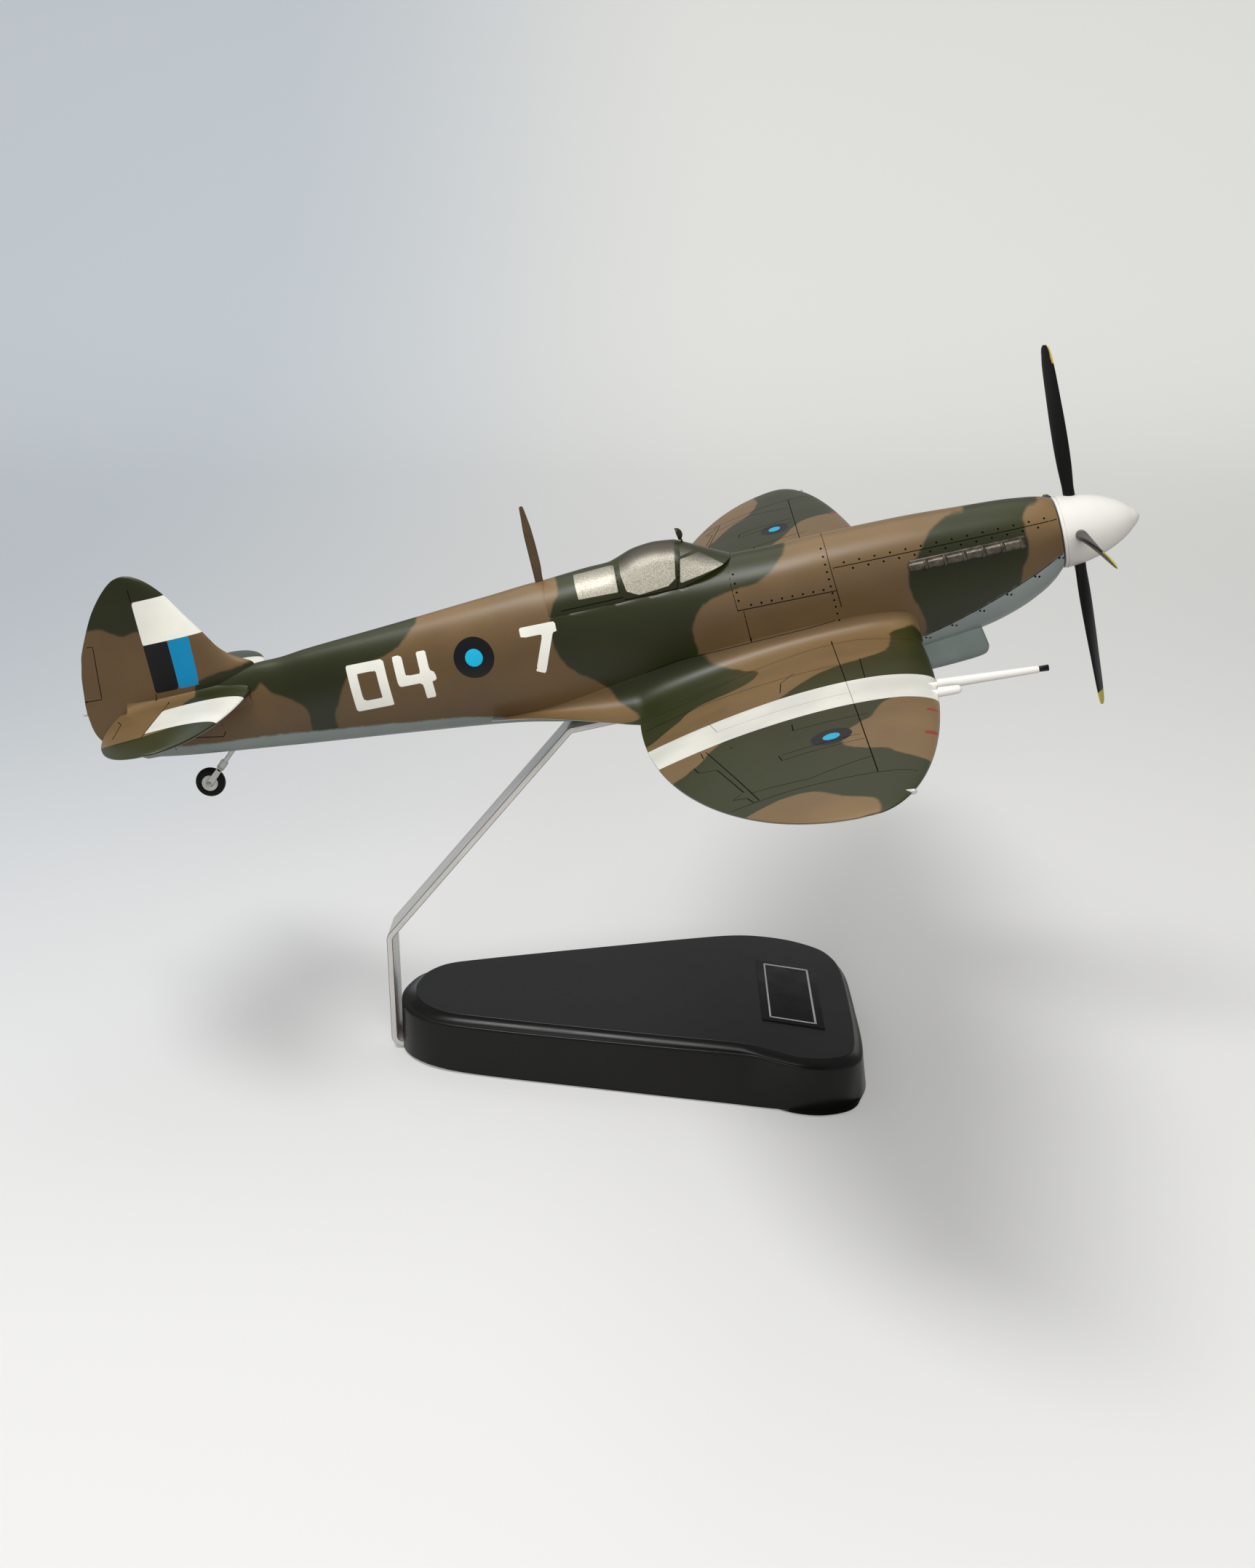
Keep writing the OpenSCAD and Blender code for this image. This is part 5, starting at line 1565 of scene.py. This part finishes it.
# ---- stand
@dataclass
class Stand:
    """Board, name plate and the bent bar."""

    pad_h: float = 0.8
    board_h: float = 26.6
    bar_t: float = 2.8
    bar_w: float = 22.0
    bar_r: float = 2.6
    foot_len: float = 44.0
    tongue_len: float = 76.0
    bar_x: float = -112.4
    bend: tuple = (-112.9, 57.5)
    tongue: tuple = (-266.4, -38.95)
    plate: tuple = (76.0, -5.0, 28.3, 67.0, 0.5)
    plate_skew: float = 9.9
    foot: tuple = (
        (-109.6, 0), (-107.3, -14), (-99.8, -25.3), (-86.5, -34.2), (-61, -41.6), (-26, -49.5),
        (14, -58.5), (46, -65.5), (59, -68.6), (69, -70.7), (78, -71.7), (88, -71), (97, -67.8),
        (103.2, -62.6), (107.6, -56), (109.8, -42), (109, -15), (108.2, 8), (106.8, 24), (103.6, 38),
        (97, 51), (83, 62.6), (66, 68.8), (50, 69.8), (29, 65.4), (-6, 56.4), (-46, 46), (-76, 38),
        (-91, 32.6), (-102.4, 23.5), (-107.8, 11.5))
    low: tuple = (
        (-109.4, 0), (-107, -14), (-99.5, -25), (-86, -32.8), (-61, -39.6), (-26, -47), (14, -55),
        (46, -60.8), (57, -63.8), (66, -69.2), (76, -74.6), (87, -76.4), (97.5, -73.4), (103.4, -68),
        (106, -60), (106.9, -42), (106.6, -15), (106.2, 8), (105.4, 24), (102.6, 38), (96.6, 51),
        (83, 62.6), (66, 68.6), (50, 69.6), (29, 65.2), (-6, 56.2), (-46, 45.8), (-76, 37.8), (-91, 32.4),
        (-102.3, 23.4), (-107.7, 11.5))
    top: tuple = (
        (-102.5, 0), (-100, -12), (-94, -21.5), (-84, -28), (-61, -34), (-26, -41.6), (14, -50),
        (46, -56.4), (56, -59.8), (66, -65.8), (76, -71.4), (86, -73.2), (95.5, -70.8), (100.2, -66),
        (102.2, -58), (103.4, -40), (103.6, -15), (103.3, 8), (102.5, 24), (100.2, 36), (94.2, 48),
        (81, 58.5), (66, 64), (51, 65), (29, 60.5), (-6, 51.5), (-46, 41), (-76, 32.6), (-90, 27.5),
        (-98, 19), (-101.4, 9.5))
    moulding: Table = table([
        [-4.2, 0], [-3.8, 0.06], [-3.5, 0.2], [-3.2, 0.4], [-2.6, 0.6], [-1.8, 0.78], [-1, 0.9],
        [-0.4, 0.96], [0, 1]])

    def board(self) -> None:
        """Makes the moulded board."""
        foot, low, top = (smooth_outline(list(o), 8) for o in (self.foot, self.low, self.top))
        face = self.pad_h + self.board_h
        lip, ease = 4.2, 0.6
        rise = face - lip - self.pad_h
        rows = [(self.pad_h, 0, ease), (self.pad_h + ease, -1 + ease / rise, 0)]
        rows += [(face - lip - rise * k, -k, 0) for k in np.linspace(0.9, 0.05, 18)]
        rows += [(face + z, float(self.moulding.at(z, 1)), 0) for z in np.linspace(-lip, -0.25, 34)]
        rows += [(face - 0.09, 0.985, 0.08), (face, 0.995, 0.3)]
        rings = []
        for z, share, inset in rows:
            ring = low + (top - low) * share if share >= 0 else low + (low - foot) * share
            ring = ring * (1 - inset / np.linalg.norm(ring, axis=1, keepdims=True))
            rings.append(np.column_stack([ring, np.full(len(ring), z)]))
        build_piece("board_body", [Shell(np.array(rings) * MM)], Finish.BOARD, "base_board",
                    body="stand", crease=42)

    def path(self) -> tuple:
        """Middle line of the bar with its upward direction.

        Returns:
            Points and normals, both in the side view, in millimetres.
        """
        foot = self.pad_h + 0.2 + self.bar_t / 2
        ends = AIR.world(np.array([[self.tongue[0], 0, self.tongue[1]],
                                   [self.tongue[0] + self.tongue_len, 0, self.tongue[1]]])) / MM
        corners = np.array([(self.bar_x + self.foot_len, foot), (self.bar_x, foot), self.bend,
                            ends[0][[0, 2]], ends[1][[0, 2]]])
        r = self.bar_r + self.bar_t / 2
        points = [corners[0]]
        for a, b, c in zip(corners, corners[1:], corners[2:]):
            u, w = (b - a) / np.linalg.norm(b - a), (c - b) / np.linalg.norm(c - b)
            turn = math.atan2(u[0] * w[1] - u[1] * w[0], u @ w)
            start = b - u * r * math.tan(abs(turn) / 2)
            centre = start + np.array([-u[1], u[0]]) * r * np.sign(turn)
            spoke = start - centre
            for t in np.linspace(0, turn, 12):
                k = np.array([[math.cos(t), -math.sin(t)], [math.sin(t), math.cos(t)]])
                points.append(centre + k @ spoke)
        points.append(corners[-1])
        points = np.array(points)
        along = np.gradient(points, axis=0)
        for i in (0, -1):
            along[i] = points[1] - points[0] if i == 0 else points[-1] - points[-2]
        along /= np.linalg.norm(along, axis=1, keepdims=True)
        return points, np.stack([-along[:, 1], along[:, 0]], -1)

    def bar(self) -> None:
        """Makes the bent bar with eased edges."""
        points, up = self.path()
        ease, steps = 0.45, 4
        half_w, half_t = self.bar_w / 2, self.bar_t / 2
        section = []
        for sy, sn, start in CORNERS:
            for t in np.radians(start + np.linspace(0, 90, steps + 1)):
                section.append((sy * (half_w - ease) + ease * math.cos(t),
                                sn * (half_t - ease) + ease * math.sin(t)))
        section = np.array(section)
        rings = np.array([[(q[0] + n[0] * v, y, q[1] + n[1] * v) for y, v in section]
                          for q, n in zip(points, up)])
        run = np.concatenate([[0], np.cumsum(np.linalg.norm(np.diff(points, axis=0), axis=1))])
        piece = mesh_piece("bar_strip", [Shell(rings * MM)], "stand", 30)
        corner = np.tile(1 - np.abs(np.arange(steps + 1) - steps / 2) / (steps / 2), 4)
        point_layer(piece.data, "along", np.repeat(run, len(section)))
        point_layer(piece.data, "across", np.tile(section[:, 0], len(run)))
        # Share of each eased edge that takes the bar's painted dark reflection.
        point_layer(piece.data, "arris", np.tile(corner, len(run)))
        dress(piece, Finish.BAR, "support_arm")

    def name_plate(self) -> None:
        """Makes the plain plate with its thin rule."""
        x, y, w, length, t = self.plate
        z = self.pad_h + self.board_h
        lean = self.plate_skew / w

        def skewed(low: tuple, high: tuple, round_: float, steps: int = 3) -> Shell:
            """Box about the plate's middle, skewed with the plate."""
            p = box_rings(low, high, round_, steps)
            p = np.stack([p[..., 0] + x, p[..., 1] + y - p[..., 0] * lean, p[..., 2] + z], -1)
            return Shell(p * MM)

        plate = skewed((-w / 2, -length / 2, -0.05), (w / 2, length / 2, t), 0.14)
        build_piece("plate_sheet", [plate], Finish.PLATE, "name_plate", body="stand")
        half_w, half_l, shells = 10.2, 29.8, []
        for s, rule in ((-1, 0.75), (1, 0.95)):
            shells.append(skewed((s * half_w - rule / 2, -half_l - 0.4, t - 0.1),
                                 (s * half_w + rule / 2, half_l + 0.4, t + 0.03), 0.02, 1))
            shells.append(skewed((-half_w, s * half_l - rule * 0.7, t - 0.1),
                                 (half_w, s * half_l + rule * 0.7, t + 0.03), 0.02, 1))
        build_piece("plate_rule", shells, Finish.RULE, body="stand")

    def build(self) -> None:
        """Makes the stand's pieces."""
        self.board()
        self.bar()
        self.name_plate()


# ---- lines and heads
class Rows:
    """Lines and heads laid on a surface, made by Geometry Nodes."""

    def __init__(self) -> None:
        """Starts with nothing laid."""
        self.points: list = []
        self.lifts: list = []
        self.edges: list = []

    def heads(self, stations: list) -> None:
        """Adds single points, each with its outward direction."""
        for point, lift in stations:
            self.points.append(point)
            self.lifts.append(lift)

    def line(self, stations: list) -> None:
        """Adds one line through points, each with its outward direction."""
        base = len(self.points)
        self.heads(stations)
        self.edges += [(base + i, base + i + 1) for i in range(len(stations) - 1)]

    def make(self, name: str, tree: bpy.types.NodeTree, half_width: float,
             proud: float) -> bpy.types.Object:
        """Turns what was laid into a piece.

        Args:
            name: Name of the piece.
            tree: Geometry Nodes tree to run.
            half_width: Half the width that shows, in millimetres.
            proud: Height over the surface, in millimetres.

        Returns:
            The piece.
        """
        mesh = bpy.data.meshes.new(name)
        mesh.from_pydata(self.points, self.edges, [])
        layer = mesh.attributes.new("lift", "FLOAT_VECTOR", "POINT")
        layer.data.foreach_set("vector", np.ravel(self.lifts).astype(np.float32))
        piece = place_object(name, mesh)
        build = piece.modifiers.new("rows", "NODES")
        build.node_group = tree
        sizes = {"Half width": half_width * MM, "Height": proud * MM}
        for item in tree.interface.items_tree:
            if item.item_type == "SOCKET" and item.name in sizes:
                build[item.identifier] = sizes[item.name]
        graph = bpy.context.evaluated_depsgraph_get()
        made = bpy.data.meshes.new_from_object(piece.evaluated_get(graph))
        piece.modifiers.clear()
        piece.data = made
        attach(piece, "aircraft")
        return piece


class RowTree(Nodes):
    """Builds the trees for thin lines and for small round heads."""

    def __init__(self, name: str, material: bpy.types.Material) -> None:
        """Starts a tree with its inputs and the sunk position of its points.

        Args:
            name: Name of the tree.
            material: Material set on the result.
        """
        super().__init__(bpy.data.node_groups.new(name, "GeometryNodeTree"))
        self.material = material
        face = self.tree.interface
        face.new_socket("Geometry", in_out="INPUT", socket_type="NodeSocketGeometry")
        for label in ("Half width", "Height"):
            face.new_socket(label, in_out="INPUT", socket_type="NodeSocketFloat")
        face.new_socket("Geometry", in_out="OUTPUT", socket_type="NodeSocketGeometry")
        self.start = self.add("NodeGroupInput")
        width, height = self.start.outputs["Half width"], self.start.outputs["Height"]
        squares = [self.math("MULTIPLY", k, k) for k in (width, height)]
        square = self.math("ADD", *squares)
        self.radius = self.math("DIVIDE", square, self.math("MULTIPLY", height, 2.0))
        lift = self.add("GeometryNodeInputNamedAttribute", data_type="FLOAT_VECTOR")
        lift.inputs["Name"].default_value = "lift"
        sink = self.add("ShaderNodeVectorMath", operation="SCALE")
        self.put(sink.inputs[0], lift.outputs["Attribute"])
        self.put(sink.inputs["Scale"], self.math("SUBTRACT", height, self.radius))
        place = self.add("GeometryNodeSetPosition")
        self.put(place.inputs["Geometry"], self.start.outputs["Geometry"])
        self.put(place.inputs["Offset"], sink.outputs[0])
        self.placed = place.outputs[0]

    def close(self, geometry: Socket) -> bpy.types.NodeTree:
        """Ends the tree.

        Args:
            geometry: The shape so far.

        Returns:
            The tree.
        """
        for kind in ("RealizeInstances", "SetShadeSmooth", "SetMaterial"):
            step = self.add("GeometryNode" + kind)
            self.put(step.inputs[0], geometry)
            geometry = step.outputs[0]
        step.inputs["Material"].default_value = self.material
        self.put(self.add("NodeGroupOutput").inputs[0], geometry)
        return self.tree

    def lines(self) -> bpy.types.NodeTree:
        """Sweeps a sunk round section along the edges.

        Returns:
            The tree.
        """
        curve = self.add("GeometryNodeMeshToCurve")
        ring = self.add("GeometryNodeCurvePrimitiveCircle")
        sweep = self.add("GeometryNodeCurveToMesh")
        for socket, value in ((sweep.inputs["Fill Caps"], True), (ring.inputs["Resolution"], 14),
                              (ring.inputs["Radius"], self.radius), (curve.inputs[0], self.placed),
                              (sweep.inputs["Curve"], curve.outputs[0]),
                              (sweep.inputs["Profile Curve"], ring.outputs[0])):
            self.put(socket, value)
        return self.close(sweep.outputs[0])

    def heads(self) -> bpy.types.NodeTree:
        """Sets a sunk ball on every point.

        Returns:
            The tree.
        """
        ball = self.add("GeometryNodeMeshIcoSphere")
        spread = self.add("GeometryNodeInstanceOnPoints")
        for socket, value in ((ball.inputs["Subdivisions"], 2), (ball.inputs["Radius"], self.radius),
                              (spread.inputs["Points"], self.placed),
                              (spread.inputs["Instance"], ball.outputs[0])):
            self.put(socket, value)
        return self.close(spread.outputs[0])


class Surface:
    """The finished skins, on which lines and heads are laid."""

    def __init__(self, names: tuple) -> None:
        """Gathers the skins.

        Args:
            names: Pieces whose faces count.
        """
        points, faces = [], []
        for mesh in (bpy.data.objects[name].data for name in names):
            base = len(points)
            points += [v.co.copy() for v in mesh.vertices]
            faces += [[base + i for i in p.vertices] for p in mesh.polygons]
        self.tree = BVHTree.FromPolygons(points, faces)

    def hit(self, start: tuple, toward: tuple) -> tuple:
        """First point met on the way between two points.

        Args:
            start: Start in aircraft millimetres.
            toward: A point on the way.

        Returns:
            The point in metres and its outward direction, or nothing.
        """
        a, b = (Vector(AIR.world(np.array(p, float))) for p in (start, toward))
        place, normal, _, _ = self.tree.ray_cast(a, (b - a).normalized())
        return (tuple(place), tuple(normal)) if place else None

    def beside(self, side: Side, x: float, z: float) -> tuple:
        """Point met from the side at station x and height z."""
        return self.hit((x, side.value * 70, z), (x, 0, z))

    def above(self, side: Side, x: float, y: float) -> tuple:
        """Point met from above at station x and distance y from the middle."""
        return self.hit((x, side.value * y, 130), (x, side.value * y, 0))

    def around(self, side: Side, x: float, a: float) -> tuple:
        """Point met from angle a around the body at station x, in degrees from the side."""
        y, z = math.cos(math.radians(a)) * side.value, math.sin(math.radians(a))
        return self.hit((x, 60 * y, 60 * z - 4), (x, 0, -4))

    def trace(self, way: object, side: Side, corners: tuple, step: float) -> list:
        """Follows a line over the surface.

        Args:
            way: Method that meets the surface.
            side: Side of the aircraft.
            corners: Corners of the line.
            step: Distance between points.

        Returns:
            Points with their directions.
        """
        out = []
        for a, b in zip(corners, corners[1:]):
            count = max(1, int(math.dist(a, b) / step))
            out += [way(side, *(a[k] + (b[k] - a[k]) * i / count for k in (0, 1)))
                    for i in range(count)]
        out.append(way(side, *corners[-1]))
        return [q for q in out if q]

    def spread(self, way: object, side: Side, corners: tuple, pitch: float,
               zigzag: float = 0.0) -> list:
        """Sets points at an even pitch along a line, by turns to its two sides.

        Args:
            way: Method that meets the surface.
            side: Side of the aircraft.
            corners: Both ends of the line.
            pitch: Distance between points.
            zigzag: Distance from the line.

        Returns:
            Points with their directions.
        """
        out, (a, b) = [], np.array(corners, float)
        d = b - a
        length = float(np.linalg.norm(d))
        off = np.array([-d[1], d[0]]) / length * zigzag
        for i in range(int(length / pitch)):
            q = a + d * (i + 0.5) * pitch / length + off * (1, -1)[i % 2]
            out.append(way(side, float(q[0]), float(q[1])))
        return [q for q in out if q]


@dataclass
class Seams:
    """Panel lines, fasteners and rivets of the airframe."""

    surface: Surface
    body_lines: tuple = (
        ((-136.5, 10.2), (-37.6, 9.1)), ((-136.9, 0.6), (-152.9, 0.9), (-180.7, 1.3)),
        ((-181.3, 19.6), (-181.3, 10.1), (-180.7, 1.3)), ((-178.2, 0.5), (-177.7, -13.5)),
        ((-37.6, -6.1), (-50.2, -12), (-63.6, -17.3), (-76.4, -21.9), (-89.3, -26), (-102.5, -29.5)),
        ((-227.9, 15.9), (-204.5, 15.6)), ((-199.9, 32.4), (-204.5, 15.6)),
        ((-229.7, 31), (-229.7, 19.5), (-228, 15.8)), ((-256.6, 17), (-228.7, 17.2)),
        ((-421.2, -2.8), (-420.7, -6.7), (-422.3, -8.5), (-436.6, -6.2)),
        ((-446.2, -8.1), (-446.3, -12.5)),
        ((-478.4, 44.6), (-469.7, 44), (-473.1, 19.5), (-481.2, 19.8)),
        ((-446.1, 66), (-446.1, 60.4)), ((-447.3, 17), (-447.7, 14.7), (-448.2, 14.2)))
    wing_lines: tuple = (
        ((-143.6, 27), (-143.6, 76)),
        ((-170, 98), (-169, 81), (-163, 70)), ((-135, 72), (-136, 109)),
        ((-202, 149), (-184, 235), (-186, 235), (-188, 228), (-193, 224), (-190, 221)),
        ((-207, 165), (-205, 174), (-198, 180), (-189, 220)), ((-204, 148), (-203, 157)),
        ((-168, 154), (-168, 164), (-140, 167)), ((-175, 192), (-174, 199), (-144, 200)),
        ((-174, 192), (-145, 193)), ((-186, 224), (-166, 231), (-144, 224)),
        ((-194, 235), (-174, 237), (-157, 241), (-136, 245), (-129, 248)),
        ((-231.8, 49), (-209.6, 49.3), (-178, 37.7), (-150.2, 32), (-133.4, 32), (-120.7, 37.5),
         (-109, 39)))
    bold_lines: tuple = (((-143.6, 76), (-143.6, 109.5)), ((-143.6, 149), (-143.6, 243)),
                         ((-144.5, 76), (-169.6, 73), (-199.8, 68), (-229, 68.5)))
    root_line: tuple = ((-225.8, -17.3), (-211.6, -14.8), (-191.9, -14.4), (-175.4, -13.8),
                        (-152.5, -13.2), (-140, -12.4))
    hoop_line: tuple = ((-138, 89), (-137.6, 45), (-136.1, -8))
    band_lines: tuple = (((-143.6, 110), (-143.6, 148)), ((-200, 108), (-197, 125), (-144, 129)))
    tail_lines: tuple = (((-441.6, 7), (-441.6, 58)), ((-441.6, 58), (-455, 58)),
                         ((-458.2, 46), (-460.7, 22.6), (-464.3, 15)))
    rivets: tuple = ((((-133, 10.1), (-41, 9.2)), 3.4, 1.5), (((-140, 2.1), (-177, 2.7)), 4.6, 0.0),
                     (((-139.8, 20), (-138.1, -15)), 3.1, 0.0), (((-179.6, 18), (-179.4, 3)), 3.6, 0.0))
    cowl_screws: tuple = ((-38.4, -7.6), (-50.1, -13.2), (-63.3, -18.4), (-76, -23.2), (-88.9, -27.3),
                          (-101, -30.7))
    wing_screws: tuple = ((-192, 157), (-168, 163))

    def build(self) -> None:
        """Lays the lines and heads of both sides."""
        s = self.surface
        thin, bold, band, faint, heads, marks = (Rows() for _ in range(6))
        plain = 2.2
        routes = ((thin, s.beside, self.body_lines, plain), (thin, s.above, self.wing_lines, plain),
                  (thin, s.above, self.tail_lines, plain), (thin, s.around, (self.hoop_line,), 4.0),
                  (faint, s.beside, (self.root_line,), 1.6), (bold, s.above, self.bold_lines, plain),
                  (band, s.above, self.band_lines, plain))
        for side in Side:
            for rows, way, lines, step in routes:
                for corners in lines:
                    rows.line(s.trace(way, side, corners, step))
            for corners, pitch, zigzag in self.rivets:
                heads.heads(s.spread(s.beside, side, corners, pitch, zigzag))
            pairs = [s.beside(side, x + k, z - drop) for x, z in self.cowl_screws
                     for k, drop in ((-0.9, 0.0), (0.9, 0.6))]
            pairs += [s.above(side, x, y) for x, y in self.wing_screws]
            marks.heads([q for q in pairs if q])
        trees = {finish: RowTree("lines_of_" + finish.value.name, finish.material()).lines()
                 for finish in (Finish.SEAM, Finish.SCUFF)}
        head_tree = RowTree("heads", Finish.SEAM.material()).heads()
        sizes = {"panel_lines": (thin, Finish.SEAM, 0.24, 0.045),
                 "spar_lines": (bold, Finish.SEAM, 0.42, 0.05),
                 "root_lines": (faint, Finish.SEAM, 0.15, 0.03),
                 "band_lines": (band, Finish.SCUFF, 0.17, 0.03),
                 "rivet_heads": (heads, Finish.SEAM, 0.62, 0.16),
                 "fastener_heads": (marks, Finish.SEAM, 0.68, 0.17)}
        for name, (rows, finish, half_width, proud) in sizes.items():
            tree = trees[finish] if rows.edges else head_tree
            dress(rows.make(name, tree, half_width, proud), finish)


# ---- studio
@dataclass
class Studio:
    """Camera, pale floor, soft lamps and world."""

    lens: float = 44.70
    eye: tuple = (0.013328, -0.852951, 0.421156)
    look: tuple = (71.208, 0.0, 0.967)
    near_floor: tuple = (217, 216, 214)
    far_floor: tuple = (212, 212, 208)
    # Darker, bluer grey painted on the left back of the floor and backdrop as shade.
    left_back_shade: tuple = (184, 190, 195)
    dim_floor: tuple = (125, 124, 121)
    room: tuple = (0.97, 0.98, 1.0, 1)
    room_light: float = 0.28
    aim: tuple = (0, 0, 0.15)
    floor_front: float = -3.0
    floor_back: float = 1.6
    sweep: tuple = (1.2, 0.75)
    half_wide: float = 5.0
    lamps: tuple = (("key_lamp", (-0.48, -0.5, 1.75), (1.05, 0.5), 15.5, True),
                    ("back_lamp", (-0.3, 0.6, 1.8), (1.9, 1.9), 7.5, True),
                    ("front_lamp", (0.2, -2.2, 0.8), (1.4, 1.4), 26.0, False))

    def camera(self) -> None:
        """Makes the camera."""
        data = bpy.data.cameras.new("view")
        data.lens = self.lens
        data.sensor_width = 36
        data.clip_start = 0.02
        eye = place_object("view", data)
        eye.location = self.eye
        eye.rotation_euler = [math.radians(k) for k in self.look]
        bpy.context.scene.camera = eye

    def floor(self) -> None:
        """Makes the floor and the backdrop that rises behind it."""
        deep, tall = self.sweep
        line = [(self.floor_front, 0.0), (self.floor_back, 0.0)]
        line += [(self.floor_back + deep * math.sin(t), tall - tall * math.cos(t))
                 for t in np.linspace(0, np.pi / 2, 24)[1:]]
        xs = np.linspace(-self.half_wide, self.half_wide, 21)
        points = [(x, y, z) for y, z in line for x in xs]
        n = len(xs)
        faces = [(i * n + j, i * n + j + 1, (i + 1) * n + j + 1, (i + 1) * n + j)
                 for i in range(len(line) - 1) for j in range(n - 1)]
        mesh = bpy.data.meshes.new("floor")
        mesh.from_pydata(points, [], faces)
        mesh.polygons.foreach_set("use_smooth", [True] * len(faces))
        mesh.materials.append(self.paper())
        place_object("floor", mesh)

    def paper(self) -> bpy.types.Material:
        """Pale paper that reflections and the camera see, and that throws back less light.

        Returns:
            The material.
        """
        sheet = Sheet("paper_floor")
        across, away = sheet.axis(0), sheet.axis(1)
        path = sheet.add("ShaderNodeLightPath")
        shine = sheet.span(away, -0.75, -0.3, (0.25, 0.8))
        shine = sheet.math("MULTIPLY", path.outputs["Is Glossy Ray"], shine)
        seen = sheet.math("MAXIMUM", path.outputs["Is Camera Ray"], shine)
        seen = sheet.math("MAXIMUM", seen, path.outputs["Is Transmission Ray"])
        pale = sheet.mix(sheet.span(away, -0.4, 1.6), linear(self.near_floor), linear(self.far_floor))
        # Painted shade: the floor and backdrop grow darker and bluer towards the left back.
        side = sheet.math("MULTIPLY", sheet.span(across, 0.15, -0.65), sheet.span(away, -0.5, 0.6))
        pale = sheet.mix(side, pale, linear(self.left_back_shade))
        sheet.paint(sheet.mix(seen, linear(self.dim_floor), pale), 0.9, sheen=0.1)
        sheet.put(sheet.shader.inputs["Emission Color"], pale)
        glow = sheet.span(away, 0.5, 2.4, (0.26, 0.68))
        sheet.put(sheet.shader.inputs["Emission Strength"], sheet.math("MULTIPLY", seen, glow))
        return sheet.material

    def lamp(self, name: str, place: tuple, size: tuple, power: float, glint: bool) -> None:
        """Adds a soft lamp aimed at the aircraft, seen in reflections or not."""
        data = bpy.data.lights.new(name, "AREA")
        data.shape = "ELLIPSE"
        data.size, data.size_y = size
        data.energy = power
        lamp = place_object(name, data)
        lamp.location = place
        lamp.visible_glossy = glint
        lamp.rotation_euler = (Vector(self.aim) - Vector(place)).to_track_quat("-Z", "Y").to_euler()

    def build(self) -> None:
        """Makes the studio."""
        self.camera()
        self.floor()
        for lamp in self.lamps:
            self.lamp(*lamp)
        world = bpy.data.worlds.new("room")
        world.use_nodes = True
        back = world.node_tree.nodes["Background"]
        back.inputs["Color"].default_value = self.room
        back.inputs["Strength"].default_value = self.room_light
        bpy.context.scene.world = world
        bpy.context.scene.view_settings.view_transform = "Standard"


SKINS = ("fuselage_skin", "wing_skin_port", "wing_skin_starboard", "tail_skin", "tailplane_skin_port",
         "tailplane_skin_starboard", "windscreen_skin", "canopy_hood_skin", "rear_glazing_skin")
KEPT_NODES = {"wing_dowels": Finish.STEEL, "tail_dowels": Finish.STEEL, "arm_screws": Finish.STEEL,
              "prop_bush": Finish.STEEL, "prop_shaft": Finish.STEEL, "radiator_port": Finish.BELLY,
              "radiator_starboard": Finish.BELLY, "base_sheet": Finish.RUBBER, "tail_light": Finish.LEG}


def main() -> None:
    """Builds the display aircraft, dresses it and lights it."""
    logging.basicConfig(level=logging.INFO, format="%(name)s: %(message)s")
    Studio().build()
    body = Fuselage()
    wings = [Wing(side) for side in Side]
    body.build(wings)
    for part in wings + [Tail(body, wings[0]), Canopy(body), Propeller(), TailWheel(), NoseFittings()]:
        part.build()
    for part in [WingFittings(wing) for wing in wings] + [Stand()]:
        part.build()
    Seams(Surface(SKINS)).build()
    for node, finish in KEPT_NODES.items():
        keep_node(node, finish)


if __name__ == "__main__":
    main()
